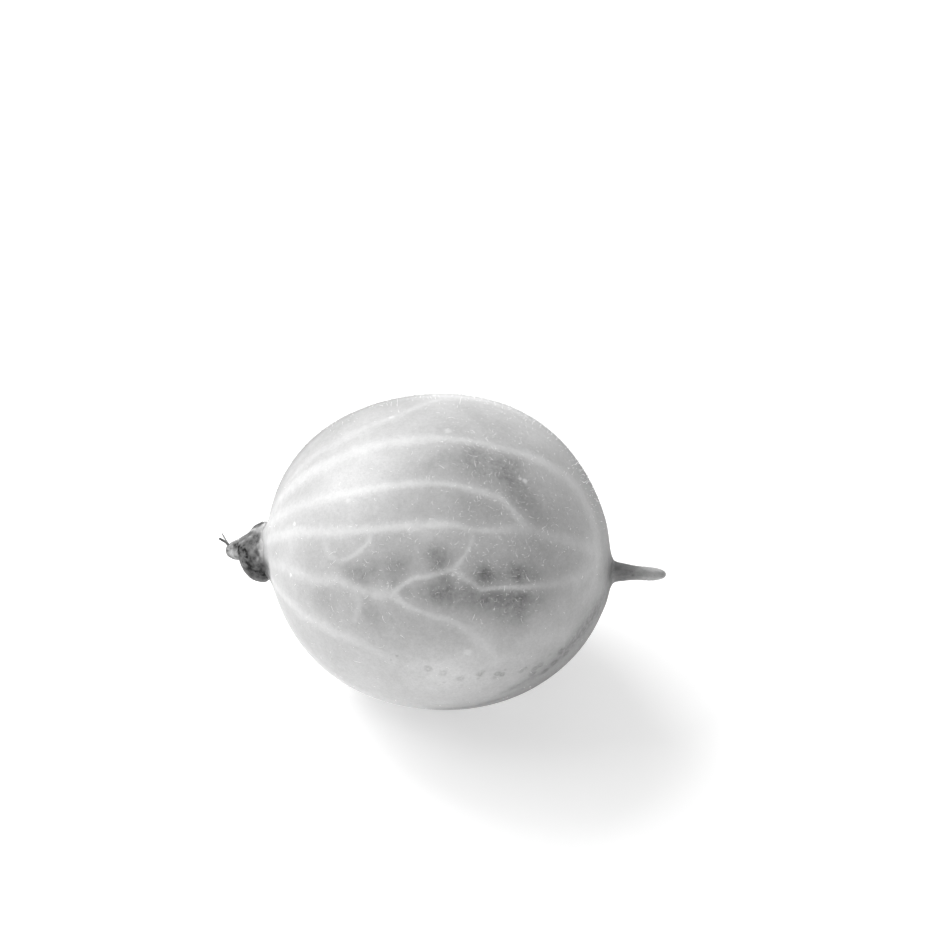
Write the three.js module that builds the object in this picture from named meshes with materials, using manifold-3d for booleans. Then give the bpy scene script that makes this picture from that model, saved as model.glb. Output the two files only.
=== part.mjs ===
// Indian gooseberry: a smooth, slightly oval berry lying on its side, with its
// short fruit stalk at +X and the dry remains of its flower at -X.
// Millimetres, +Z up. The origin is the centre of the plan at floor level.
import * as THREE from 'three';
import { mergeVertices } from 'three/addons/utils/BufferGeometryUtils.js';
import Module from 'manifold-3d';

// ---------- driving dimensions (mm) ----------
const BERRY_RADIUS = 10.544;          // mean radius of the berry
const BERRY_LENGTHENING = 0.444;      // cos 2a term: longer along its axis than across
const BERRY_COS = [-0.0369, BERRY_LENGTHENING, -0.0215, -0.0404, 0.0305, 0.0076]; // a = 1..6
const BERRY_SIN = [0.0311, -0.1151, 0.002, -0.0818, -0.0041, -0.0104];            // belly against back
const CROWN_TILT = 42;                // degrees from +Z towards +Y where the sin terms act outwards
const BERRY_RINGS = 34;
const BERRY_SEGMENTS = 64;
const SEAT_RADIUS = 2.3;              // the small flat spot that the berry rests on

const JOINT_GAP = 0.05;               // between pieces that grew against each other

const STALK_AT = [10.95, -0.76];     // along the axis, and towards the crown
const STALK_LENGTH = 3.46;
const STALK_PROFILE = [               // [distance out from the skin, radius]
  [-0.45, 1.30], [-0.2, 1.12], [-0.04, 0.94], [0.05, 0.82], [0.15, 0.72], [0.293, 0.645],
  [0.487, 0.59], [0.86, 0.54], [1.25, 0.487], [1.65, 0.455], [2.1, 0.434], [2.45, 0.42],
  [2.8, 0.39], [3.09, 0.32], [3.28, 0.25], [3.41, 0.15],
];
const STALK_SEGMENTS = 20;

const FLOWER_AT = [-11.0, -0.46];    // along the axis, and towards the crown
const FLOWER_DIP = 3;                 // degrees that the dry flower droops
const CALYX_PROFILE = [               // [distance out from the skin, radius]
  [-0.75, 1.55], [-0.4, 1.80], [0.0, 1.86], [0.22, 1.88], [0.54, 1.82], [0.78, 1.70],
  [1.1, 1.46], [1.3, 1.30], [1.45, 1.15], [1.6, 1.0], [1.7, 0.88], [1.76, 0.72],
];
const CALYX_END = 1.79;
const CALYX_SEGMENTS = 40;
const SEPALS = 5;                     // the five shrivelled sepals show as soft lobes
const SEPAL_RELIEF = 0.025;           // share of the radius
const WRINKLE_RELIEF = 0.012;
const FOLD_AT = [0.72, 1.08];         // the one sepal that stands proud, out and up
const FOLD_SIZE = [0.88, 0.62, 0.95]; // its half sizes: out, up, across

const PETALS_PROFILE = [
  [1.55, 0.60], [1.7, 0.74], [1.83, 0.745], [1.95, 0.69], [2.05, 0.635], [2.2, 0.584],
  [2.32, 0.53], [2.41, 0.476], [2.5, 0.41], [2.565, 0.35], [2.63, 0.24],
];
const PETALS_END = 2.67;
const PETALS_RISE = 0.12;             // the knob sits a little above the calyx axis
const PETALS_SEGMENTS = 22;

// the two dry threads, which fork inside the petals: paths of [out, up, across] points, and radii
const STYLE_THICK = [[2.16, 0.28, 0.10], [2.5, 0.44, 0.11], [2.78, 0.64, 0.13], [2.99, 0.78, 0.15], [3.12, 0.88, 0.18]];
const STYLE_THICK_RADIUS = 0.065;
const STYLE_THIN = [[2.16, 0.28, 0.10], [2.42, 0.50, 0.06], [2.62, 0.70, 0.02], [2.78, 0.95, -0.02], [2.95, 1.26, -0.05]];
const STYLE_THIN_RADIUS = 0.04;
const STYLE_STEPS = 9;
const STYLE_SIDES = 8;

// ---------- helpers ----------
const wasm = await Module();
wasm.setup();

const rad = THREE.MathUtils.degToRad;
const CROWN = new THREE.Vector3(0, Math.sin(rad(CROWN_TILT)), Math.cos(rad(CROWN_TILT)));

// joins shared vertices and drops triangles that have shrunk to a line
function weld(geometry) {
  const g = geometry.clone();
  for (const name of Object.keys(g.attributes)) if (name !== 'position') g.deleteAttribute(name);
  const merged = mergeVertices(g, 1e-4);
  const index = merged.index.array;
  const kept = [];
  for (let i = 0; i < index.length; i += 3) {
    const [a, b, c] = [index[i], index[i + 1], index[i + 2]];
    if (a !== b && b !== c && c !== a) kept.push(a, b, c);
  }
  merged.setIndex(kept);
  return merged;
}

function solid(geometry) {
  const g = weld(geometry);
  const made = new wasm.Manifold(new wasm.Mesh({
    numProp: 3,
    vertProperties: new Float32Array(g.attributes.position.array),
    triVerts: new Uint32Array(g.index.array),
  }));
  return made;
}

// a closed body must have its faces pointing out, so a negative volume is turned over
function outward(geometry) {
  const g = weld(geometry);
  const p = g.attributes.position;
  const i = g.index.array;
  const [a, b, c] = [new THREE.Vector3(), new THREE.Vector3(), new THREE.Vector3()];
  let volume = 0;
  for (let k = 0; k < i.length; k += 3) {
    a.fromBufferAttribute(p, i[k]);
    b.fromBufferAttribute(p, i[k + 1]);
    c.fromBufferAttribute(p, i[k + 2]);
    volume += a.dot(b.clone().cross(c));
  }
  if (volume < 0) {
    const turned = [];
    for (let k = 0; k < i.length; k += 3) turned.push(i[k], i[k + 2], i[k + 1]);
    g.setIndex(turned);
  }
  return g;
}

function toGeometry(body) {
  const mesh = body.getMesh();
  const count = mesh.vertProperties.length / mesh.numProp;
  const position = new Float32Array(count * 3);
  for (let v = 0; v < count; v++) {
    for (let k = 0; k < 3; k++) position[v * 3 + k] = mesh.vertProperties[v * mesh.numProp + k];
  }
  const g = new THREE.BufferGeometry();
  g.setAttribute('position', new THREE.BufferAttribute(position, 3));
  g.setIndex([...mesh.triVerts]);
  g.computeVertexNormals();
  return g;
}

// the berry's radius in the direction that makes the angle `a` with its axis;
// `up` is 1 towards the crown, -1 towards the belly
function berryRadius(a, up) {
  let r = BERRY_RADIUS;
  for (let k = 0; k < 6; k++) r += BERRY_COS[k] * Math.cos((k + 1) * a) + up * BERRY_SIN[k] * Math.sin((k + 1) * a);
  return r;
}

function berryGeometry(swell = 0) {
  const profile = [];
  for (let i = 0; i <= BERRY_RINGS; i++) {
    const a = Math.PI * (1 - i / BERRY_RINGS);
    profile.push(new THREE.Vector2(i === 0 || i === BERRY_RINGS ? 0 : Math.sin(a), Math.cos(a)));
  }
  const g = new THREE.LatheGeometry(profile, BERRY_SEGMENTS);
  g.applyMatrix4(new THREE.Matrix4().makeRotationZ(-Math.PI / 2));
  const p = g.attributes.position;
  const v = new THREE.Vector3();
  for (let i = 0; i < p.count; i++) {
    v.fromBufferAttribute(p, i).normalize();
    const a = Math.acos(THREE.MathUtils.clamp(v.x, -1, 1));
    const across = Math.hypot(v.y, v.z);
    const up = across > 1e-9 ? (v.y * CROWN.y + v.z * CROWN.z) / across : 0;
    v.multiplyScalar(berryRadius(a, up) + swell);
    p.setXYZ(i, v.x, v.y, v.z);
  }
  return outward(g);
}

// a body of revolution along +Y: out from the skin
function turned(profile, end, segments, swell = 0) {
  const points = [new THREE.Vector2(0, profile[0][0] - swell)];
  for (const [out, r] of profile) points.push(new THREE.Vector2(r + swell, out));
  points.push(new THREE.Vector2(0, end + swell));
  return new THREE.LatheGeometry(points, segments);
}

function waved(geometry, change) {
  const p = geometry.attributes.position;
  for (let i = 0; i < p.count; i++) {
    const [x, y, z] = [p.getX(i), p.getY(i), p.getZ(i)];
    const k = change(Math.atan2(z, x), y);
    p.setXYZ(i, x * k, y, z * k);
  }
  return geometry;
}

// ---------- the berry ----------
const lowest = (() => {
  let z = 0;
  const p = berryGeometry().attributes.position;
  for (let i = 0; i < p.count; i++) z = Math.min(z, p.getZ(i));
  return -z;
})();
const CENTRE_HEIGHT = Math.sqrt(lowest ** 2 - SEAT_RADIUS ** 2);
const ground = new THREE.BoxGeometry(40, 40, 10);
ground.translate(0, 0, -CENTRE_HEIGHT - 5);
const berryBody = solid(berryGeometry()).subtract(solid(ground));
const berryRoom = solid(berryGeometry(JOINT_GAP));

// ---------- the stalk ----------
const stalkFrame = new THREE.Matrix4().compose(
  CROWN.clone().multiplyScalar(STALK_AT[1]).add(new THREE.Vector3(STALK_AT[0], 0, 0)),
  new THREE.Quaternion().setFromUnitVectors(new THREE.Vector3(0, 1, 0), new THREE.Vector3(1, 0, 0)),
  new THREE.Vector3(1, 1, 1),
);
const stalkForm = turned(STALK_PROFILE, STALK_LENGTH, STALK_SEGMENTS);
stalkForm.applyMatrix4(stalkFrame);
const stalkBody = solid(outward(stalkForm)).subtract(berryRoom);

// ---------- the dry flower: calyx, shrivelled petals and the forked style ----------
// its own axes: out from the skin, up towards the crown, and across
const flowerOut = new THREE.Vector3(-Math.cos(rad(FLOWER_DIP)), 0, 0)
  .addScaledVector(CROWN, -Math.sin(rad(FLOWER_DIP))).normalize();
const flowerUp = CROWN.clone().addScaledVector(flowerOut, -CROWN.dot(flowerOut)).normalize();
const flowerAcross = flowerUp.clone().cross(flowerOut).normalize();
const flowerBase = CROWN.clone().multiplyScalar(FLOWER_AT[1]).add(new THREE.Vector3(FLOWER_AT[0], 0, 0));
// a lathe stands along +Y, with its angle 0 along +X: up
const flowerFrame = new THREE.Matrix4().makeBasis(flowerUp, flowerOut, flowerAcross.clone().negate())
  .setPosition(flowerBase);
const flowerPoint = ([out, up, across]) => flowerBase.clone()
  .addScaledVector(flowerOut, out).addScaledVector(flowerUp, up).addScaledVector(flowerAcross, across);

function calyxForm(swell) {
  const cup = waved(turned(CALYX_PROFILE, CALYX_END, CALYX_SEGMENTS, swell), (angle, out) => 1
    + SEPAL_RELIEF * Math.cos(SEPALS * angle + 0.6) * THREE.MathUtils.smoothstep(out, -0.2, 0.5)
    + WRINKLE_RELIEF * Math.cos(11 * angle + 5 * out));
  cup.applyMatrix4(flowerFrame);
  const fold = new THREE.SphereGeometry(1, 22, 14);
  fold.scale(FOLD_SIZE[1] + swell, FOLD_SIZE[0] + swell, FOLD_SIZE[2] + swell);
  fold.translate(FOLD_AT[1], FOLD_AT[0] - 0.35, 0);
  fold.applyMatrix4(flowerFrame);
  return solid(outward(cup)).add(solid(outward(fold)));
}
const calyxBody = calyxForm(0).subtract(berryRoom);

function petalsForm() {
  const knob = waved(turned(PETALS_PROFILE, PETALS_END, PETALS_SEGMENTS), (angle, out) => 1
    + 0.05 * Math.cos(3 * angle + 1.2 + 2 * out) + 0.03 * Math.cos(5 * angle - 3 * out));
  knob.translate(PETALS_RISE, 0, 0);
  knob.applyMatrix4(flowerFrame);
  return solid(outward(knob));
}
function thread(path, radius, longer) {
  const points = path.map(flowerPoint);
  const back = points[0].clone().sub(points[1]).setLength(longer);
  if (longer > 0) points[0].add(back);
  const curve = new THREE.CatmullRomCurve3(points);
  const section = new THREE.Shape();
  for (let i = 0; i < STYLE_SIDES; i++) {
    const t = (2 * Math.PI * i) / STYLE_SIDES;
    const [x, y] = [radius * Math.cos(t), radius * Math.sin(t)];
    if (i) section.lineTo(x, y); else section.moveTo(x, y);
  }
  section.closePath();
  const g = new THREE.ExtrudeGeometry(section, { steps: STYLE_STEPS, extrudePath: curve, bevelEnabled: false });
  return solid(outward(g));
}
const styleForm = (swell) => thread(STYLE_THICK, STYLE_THICK_RADIUS + swell, swell)
  .add(thread(STYLE_THIN, STYLE_THIN_RADIUS + swell, swell));
const styleBody = styleForm(0);
const petalsBody = petalsForm().subtract(calyxForm(JOINT_GAP)).subtract(styleForm(JOINT_GAP));

// ---------- materials ----------
const skin = new THREE.MeshStandardMaterial({ color: 0xbfbfbf, roughness: 0.42, metalness: 0 });
const greenStem = new THREE.MeshStandardMaterial({ color: 0x8f8f8f, roughness: 0.6, metalness: 0 });
const dryBract = new THREE.MeshStandardMaterial({ color: 0x4a4a4a, roughness: 0.85, metalness: 0 });
const dryPetal = new THREE.MeshStandardMaterial({ color: 0xa0a0a0, roughness: 0.8, metalness: 0 });
const dryThread = new THREE.MeshStandardMaterial({ color: 0x555555, roughness: 0.8, metalness: 0 });

// ---------- assembly ----------
const fruit = new THREE.Group();
function place(name, body, material) {
  const mesh = new THREE.Mesh(toGeometry(body), material);
  mesh.name = name;
  fruit.add(mesh);
  return mesh;
}
place('berry', berryBody, skin);
place('stalk', stalkBody, greenStem);
place('dried_calyx', calyxBody, dryBract);
place('withered_petals', petalsBody, dryPetal);
place('forked_style', styleBody, dryThread);

const extent = new THREE.Box3().setFromObject(fruit);
fruit.position.set(
  -Math.round((extent.min.x + extent.max.x) * 500) / 1000,
  -Math.round((extent.min.y + extent.max.y) * 500) / 1000,
  CENTRE_HEIGHT,
);

const gooseberry = new THREE.Group();
gooseberry.name = 'indian_gooseberry';
gooseberry.add(fruit);
gooseberry.updateMatrixWorld(true);

export default gooseberry;
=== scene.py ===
import math

import bpy
import numpy as np
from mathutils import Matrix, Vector


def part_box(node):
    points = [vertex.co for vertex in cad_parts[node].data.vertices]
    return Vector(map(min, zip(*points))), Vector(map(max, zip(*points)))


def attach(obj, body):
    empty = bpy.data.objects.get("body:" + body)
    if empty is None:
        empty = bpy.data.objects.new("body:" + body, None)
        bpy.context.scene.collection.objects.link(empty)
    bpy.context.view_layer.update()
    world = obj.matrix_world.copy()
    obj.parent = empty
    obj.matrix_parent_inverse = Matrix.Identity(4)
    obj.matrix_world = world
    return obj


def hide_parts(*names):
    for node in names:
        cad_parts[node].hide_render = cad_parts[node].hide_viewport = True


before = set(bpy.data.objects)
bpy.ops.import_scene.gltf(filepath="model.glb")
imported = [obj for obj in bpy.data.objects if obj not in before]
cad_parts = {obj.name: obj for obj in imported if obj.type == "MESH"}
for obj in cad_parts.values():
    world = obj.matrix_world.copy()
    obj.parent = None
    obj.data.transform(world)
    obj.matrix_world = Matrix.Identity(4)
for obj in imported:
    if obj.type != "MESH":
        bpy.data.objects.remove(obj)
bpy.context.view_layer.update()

# ---------------------------------------------------------------- the fruit's own frame
# Millimetres from the middle of the berry: x along its axis, with the stalk at +x and
# the dry flower at -x. CROWN is the direction, across the axis, in which the berry bulges.
COS_TERMS = (-0.0369, 0.444, -0.0215, -0.0404, 0.0305, 0.0076)
SIN_TERMS = (0.0311, -0.1151, 0.002, -0.0818, -0.0041, -0.0104)
MEAN_RADIUS = 10.544
TILT = math.radians(42.0)
CROWN = np.array([0.0, math.sin(TILT), math.cos(TILT)])


def unit(v):
    return v / np.maximum(np.linalg.norm(v, axis=-1, keepdims=True), 1e-12)


def skin_radius(d):
    """The smooth berry's radius along each unit direction."""
    a = np.arccos(np.clip(d[..., 0], -1, 1))
    across = np.hypot(d[..., 1], d[..., 2])
    up = (d[..., 1] * CROWN[1] + d[..., 2] * CROWN[2]) / np.maximum(across, 1e-9)
    r = MEAN_RADIUS + 0 * a
    for k in range(6):
        r = r + COS_TERMS[k] * np.cos((k + 1) * a) + up * SIN_TERMS[k] * np.sin((k + 1) * a)
    return r


def direction(a, phi):
    """a: degrees from the flower end; phi: degrees round the axis, 0 towards -y and 90 up."""
    a, phi = np.radians(a), np.radians(phi)
    return np.stack([-np.cos(a), -np.sin(a) * np.cos(phi), np.sin(a) * np.sin(phi)], -1)


TURN = np.linspace(0, 2 * np.pi, 721)
RIM = np.stack([0 * TURN, np.cos(TURN), np.sin(TURN)], -1)
TOP = float((RIM[:, 2] * skin_radius(RIM)).max())
berry_lo, berry_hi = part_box("berry")
stalk_lo, stalk_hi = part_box("stalk")
STALK_TIP = 10.95 + 3.46
CENTRE = np.array([stalk_hi[0] * 1000 - STALK_TIP, 0.0, berry_hi[2] * 1000 - TOP])

STALK_BASE = np.array([10.95, 0, 0]) - 0.76 * CROWN
FLOWER_BASE = np.array([-11.0, 0, 0]) - 0.46 * CROWN
DIP = math.radians(3.0)
OUT = unit(np.array([-math.cos(DIP), 0, 0]) - math.sin(DIP) * CROWN)
UP = unit(CROWN - CROWN.dot(OUT) * OUT)
ACROSS = np.cross(UP, OUT)


def flower(out, up, across):
    out, up, across = np.broadcast_arrays(out, up, across)
    return FLOWER_BASE + out[..., None] * OUT + up[..., None] * UP + across[..., None] * ACROSS


# ---------------------------------------------------------------- noise
def vnoise(p, freq, seed):
    """Smooth value noise from -1 to 1. p in mm, freq per mm."""
    table = np.random.default_rng(seed).random((32, 32, 32)) * 2 - 1
    q = p * freq + 100.37 + seed * 3.1
    i = np.floor(q).astype(int)
    f = q - i
    f = f * f * f * (f * (f * 6 - 15) + 10)
    total = 0
    for dx in (0, 1):
        wx = f[..., 0] if dx else 1 - f[..., 0]
        for dy in (0, 1):
            wy = f[..., 1] if dy else 1 - f[..., 1]
            for dz in (0, 1):
                wz = f[..., 2] if dz else 1 - f[..., 2]
                total = total + wx * wy * wz * table[
                    (i[..., 0] + dx) & 31, (i[..., 1] + dy) & 31, (i[..., 2] + dz) & 31
                ]
    return total


def fbm(p, freq, seed, octaves=3, gain=0.5):
    total, amp, norm = 0, 1.0, 0.0
    for o in range(octaves):
        total = total + amp * vnoise(p, freq * 2 ** o, seed + 17 * o)
        norm += amp
        amp *= gain
    return total / norm


def smooth(lo, hi, x):
    t = np.clip((x - lo) / (hi - lo), 0, 1)
    return t * t * (3 - 2 * t)


# ---------------------------------------------------------------- mesh helpers
def make_object(name, verts_mm, faces, uvs=None, attributes=None):
    """verts in the fruit's frame (mm); uvs per face corner."""
    mesh = bpy.data.meshes.new(name)
    v = (verts_mm + CENTRE) / 1000.0
    faces = np.asarray(faces, dtype=np.int32)
    n_face, n_side = faces.shape
    mesh.vertices.add(len(v))
    mesh.vertices.foreach_set("co", v.astype(np.float32).ravel())
    mesh.loops.add(n_face * n_side)
    mesh.loops.foreach_set("vertex_index", faces.ravel())
    mesh.polygons.add(n_face)
    mesh.polygons.foreach_set("loop_start", np.arange(0, n_face * n_side, n_side, dtype=np.int32))
    mesh.update(calc_edges=True)
    mesh.validate(verbose=False)
    mesh.polygons.foreach_set("use_smooth", np.ones(len(mesh.polygons), dtype=bool))
    if uvs is not None:
        layer = mesh.uv_layers.new(name="OFBake")
        layer.data.foreach_set("uv", np.asarray(uvs, dtype=np.float32).ravel())
    for key, values in (attributes or {}).items():
        layer = mesh.attributes.new(key, "FLOAT", "POINT")
        layer.data.foreach_set("value", np.asarray(values, dtype=np.float32))
    obj = bpy.data.objects.new(name, mesh)
    bpy.context.scene.collection.objects.link(obj)
    return obj


def cube_sphere(n):
    """Unit directions, quads and their UVs. Each side of the cube has its own tile of the map."""
    ids, dirs_of, quads, uvs = {}, [], [], []
    axes = [(0, 1, 2, 1), (0, 1, 2, -1), (1, 2, 0, 1), (1, 2, 0, -1), (2, 0, 1, 1), (2, 0, 1, -1)]
    key_all, dir_all, base = [], [], 0
    s = np.linspace(-1, 1, n + 1)
    warped = np.tan(s * math.pi / 4)
    for tile, (w, u, v, sign) in enumerate(axes):
        iu, iv = np.meshgrid(np.arange(n + 1), np.arange(n + 1), indexing="ij")
        if sign < 0:
            iu, iv = iv, iu
        lattice = np.zeros((n + 1, n + 1, 3), int)
        lattice[..., w] = n if sign > 0 else 0
        lattice[..., u] = iu
        lattice[..., v] = iv
        d = np.zeros((n + 1, n + 1, 3))
        d[..., w] = sign
        d[..., u] = warped[iu]
        d[..., v] = warped[iv]
        key_all.append((lattice[..., 0] * (n + 1) + lattice[..., 1]) * (n + 1) + lattice[..., 2])
        dir_all.append(unit(d))
    keys = np.concatenate([k.ravel() for k in key_all])
    dirs = np.concatenate([d.reshape(-1, 3) for d in dir_all])
    _, first, inverse = np.unique(keys, return_index=True, return_inverse=True)
    inverse = inverse.reshape(6, n + 1, n + 1)
    margin = 0.012
    t = margin + (1 - 2 * margin) * np.arange(n + 1) / n
    for tile in range(6):
        m = inverse[tile]
        quads.append(np.stack([m[:-1, :-1], m[1:, :-1], m[1:, 1:], m[:-1, 1:]], -1).reshape(-1, 4))
        a, b = np.meshgrid(t, t, indexing="ij")
        uv = np.stack([(tile % 3 + a) / 3, (tile // 3 + b) / 2], -1)
        uvs.append(np.stack([uv[:-1, :-1], uv[1:, :-1], uv[1:, 1:], uv[:-1, 1:]], -2).reshape(-1, 4, 2))
    return dirs[first], np.concatenate(quads), np.concatenate(uvs)


def tube_grid(rings, around):
    """Quads and UVs of a closed grid: `rings` rows of `around` points between two end points.
    The ends are rows too, pulled together by the caller, and stay closed by a fan of thin quads."""
    i = np.arange(around)
    j = (i + 1) % around
    quads, uvs = [], []
    for r in range(rings - 1):
        a, b = r * around, (r + 1) * around
        quads.append(np.stack([a + i, a + j, b + j, b + i], -1))
        u0, u1 = i / around, (i + 1) / around
        v0, v1 = np.full(around, r / (rings - 1)), np.full(around, (r + 1) / (rings - 1))
        uvs.append(np.stack([np.stack([u0, v0], -1), np.stack([u1, v0], -1),
                             np.stack([u1, v1], -1), np.stack([u0, v1], -1)], 1))
    return np.concatenate(quads), np.concatenate(uvs)


def triangulated(quads, uvs):
    t = np.concatenate([quads[:, [0, 1, 2]], quads[:, [0, 2, 3]]])
    w = np.concatenate([uvs[:, [0, 1, 2]], uvs[:, [0, 2, 3]]])
    return t, w


def closed_ends(points, quads, uvs):
    """Merges each end ring into one point, and drops the triangles that this shrinks."""
    rings, around = points.shape[:2]
    flat = points.reshape(-1, 3)
    index = np.arange(len(flat))
    index[:around] = 0
    index[-around:] = len(flat) - 1
    tris, tuv = triangulated(quads, uvs)
    tris = index[tris]
    keep = (tris[:, 0] != tris[:, 1]) & (tris[:, 1] != tris[:, 2]) & (tris[:, 2] != tris[:, 0])
    tris, tuv = tris[keep], tuv[keep]
    used, compact = np.unique(tris, return_inverse=True)
    out = flat[used].copy()
    out[0] = points[0].mean(0)
    out[-1] = points[-1].mean(0)
    return out, compact.reshape(tris.shape), tuv, used


def facing_out(verts, tris):
    a, b, c = verts[tris[:, 0]], verts[tris[:, 1]], verts[tris[:, 2]]
    return float(np.einsum("ij,ij->i", a - verts.mean(0), np.cross(b - verts.mean(0), c - verts.mean(0))).sum()) > 0


# ---------------------------------------------------------------- veins, seeds and marks on the skin
# Each vein is a route; each point gives (a, phi) in degrees, the half width in mm and the strength.
VEINS = [
    [(20.7, 92.8, 0.45, 0.1), (31.1, 97.3, 0.5, 0.3), (40.1, 107.2, 0.55, 0.4), (50.8, 112.4, 0.6, 0.4), (60.9, 114.8, 0.6, 0.4),
     (72.2, 118.1, 0.6, 0.45), (90.5, 118.0, 0.6, 0.5), (108.0, 118.2, 0.55, 0.4), (123.6, 116.6, 0.5, 0.2), (134.8, 116.6, 0.45, 0.05)],
    [(13.0, 84.0, 0.29, 0.25), (28.9, 84.6, 0.32, 0.35), (38.8, 90.1, 0.35, 0.32), (50.8, 92.0, 0.39, 0.27), (58.7, 94.6, 0.36, 0.27),
     (66.9, 97.4, 0.32, 0.32), (75.6, 100.9, 0.28, 0.38), (82.2, 106.8, 0.28, 0.35), (89.2, 113.5, 0.23, 0.3), (94.3, 116.5, 0.2, 0.2)],
    [(11.0, 74.0, 0.36, 0.5), (29.0, 79.8, 0.46, 0.62), (39.9, 80.2, 0.53, 0.60), (49.5, 81.3, 0.52, 0.50), (63.4, 83.0, 0.46, 0.48),
     (76.8, 84.5, 0.44, 0.61), (89.7, 85.3, 0.37, 0.72), (100.8, 85.2, 0.29, 0.69), (113.8, 85.0, 0.30, 0.67), (128.2, 86.4, 0.41, 0.68),
     (139.5, 87.2, 0.51, 0.63), (147.8, 84.2, 0.58, 0.6), (153.1, 76.0, 0.62, 0.6), (156.8, 62.4, 0.64, 0.55), (158.5, 45.4, 0.62, 0.5),
     (156.3, 28.6, 0.58, 0.35), (151.8, 18.1, 0.5, 0.15)],
    [(10.0, 78.0, 0.38, 0.5), (24.0, 65.0, 0.46, 0.54), (40.6, 63.1, 0.42, 0.48), (56.9, 63.6, 0.35, 0.52), (73.7, 65.0, 0.26, 0.66),
     (86.9, 66.1, 0.23, 0.72), (98.6, 65.6, 0.23, 0.76), (109.7, 63.8, 0.26, 0.88), (114.5, 62.0, 0.26, 0.82), (118.3, 58.0, 0.25, 0.73),
     (122.1, 54.3, 0.25, 0.61)],
    [(11.3, 48.3, 0.35, 0.5), (25.1, 48.7, 0.42, 0.66), (38.3, 49.2, 0.42, 0.72), (53.8, 48.3, 0.38, 0.73), (68.2, 49.0, 0.32, 0.83),
     (80.2, 50.3, 0.31, 0.94), (92.9, 51.6, 0.26, 0.86), (99.0, 51.4, 0.22, 0.73), (103.1, 50.4, 0.19, 0.68), (113.5, 51.0, 0.23, 0.58),
     (122.4, 52.7, 0.33, 0.45), (132.4, 51.3, 0.38, 0.40), (141.0, 50.8, 0.40, 0.38), (149.0, 50.5, 0.45, 0.3), (156.9, 50.2, 0.5, 0.2)],
    [(68.9, 48.3, 0.11, 0.41), (68.5, 45.1, 0.12, 0.62), (65.9, 41.7, 0.13, 0.62), (62.3, 39.0, 0.16, 0.55), (58.5, 36.9, 0.17, 0.37)],
    [(52.3, 48.8, 0.35, 0.35), (52.1, 42.7, 0.30, 0.35), (53.9, 38.6, 0.22, 0.36), (58.6, 36.6, 0.16, 0.30)],
    [(103.9, 50.3, 0.18, 0.25), (104.4, 47.8, 0.17, 0.37), (103.1, 43.8, 0.15, 0.53), (101.4, 40.6, 0.14, 0.71), (99.1, 37.2, 0.17, 0.97)],
    [(10.0, 12.0, 0.36, 0.4), (28.0, 27.3, 0.41, 0.47), (40.4, 27.7, 0.37, 0.54), (48.0, 27.1, 0.33, 0.62), (56.8, 28.6, 0.40, 0.64),
     (62.6, 27.2, 0.42, 0.62), (69.0, 26.2, 0.36, 0.65), (73.0, 25.8, 0.42, 0.74), (77.3, 26.3, 0.42, 0.79)],
    [(77.1, 26.0, 0.25, 1.00), (79.9, 29.1, 0.17, 0.96), (83.7, 32.1, 0.17, 0.91), (88.5, 33.4, 0.17, 0.99), (94.0, 34.9, 0.20, 1.00),
     (98.0, 36.1, 0.24, 0.99), (101.2, 34.0, 0.21, 0.77), (104.8, 31.6, 0.20, 0.71), (107.8, 29.4, 0.20, 0.76), (110.8, 29.8, 0.15, 0.82),
     (115.4, 30.0, 0.14, 0.92), (120.4, 29.7, 0.15, 0.95), (124.0, 29.7, 0.16, 0.80), (129.0, 29.5, 0.20, 0.58), (134.4, 29.5, 0.30, 0.50),
     (142.7, 29.9, 0.42, 0.45), (150.4, 30.9, 0.5, 0.35), (157.0, 35.9, 0.5, 0.2)],
    [(77.4, 25.9, 0.36, 0.79), (81.5, 23.2, 0.23, 0.68), (84.0, 22.0, 0.20, 0.63), (88.2, 20.8, 0.19, 0.59), (92.0, 19.3, 0.21, 0.55),
     (95.8, 18.6, 0.21, 0.51), (99.6, 16.8, 0.21, 0.48), (103.1, 14.6, 0.22, 0.41), (105.8, 11.7, 0.26, 0.37), (109.2, 7.6, 0.33, 0.35),
     (112.1, 3.0, 0.34, 0.27), (114.9, -2.5, 0.35, 0.12)],
    [(63.5, 26.1, 0.29, 0.29), (65.1, 22.9, 0.32, 0.46), (65.2, 19.3, 0.20, 0.44), (63.5, 13.8, 0.18, 0.33)],
    [(12.0, -2.0, 0.25, 0.5), (23.8, 2.8, 0.32, 0.50), (34.1, 5.4, 0.40, 0.54), (42.2, 5.3, 0.42, 0.62), (49.6, 5.0, 0.46, 0.62),
     (58.2, 4.8, 0.50, 0.55), (65.4, 4.1, 0.48, 0.42), (72.2, 1.6, 0.38, 0.28), (78.3, -0.9, 0.34, 0.2), (84.4, -2.8, 0.30, 0.16)],
]


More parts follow.
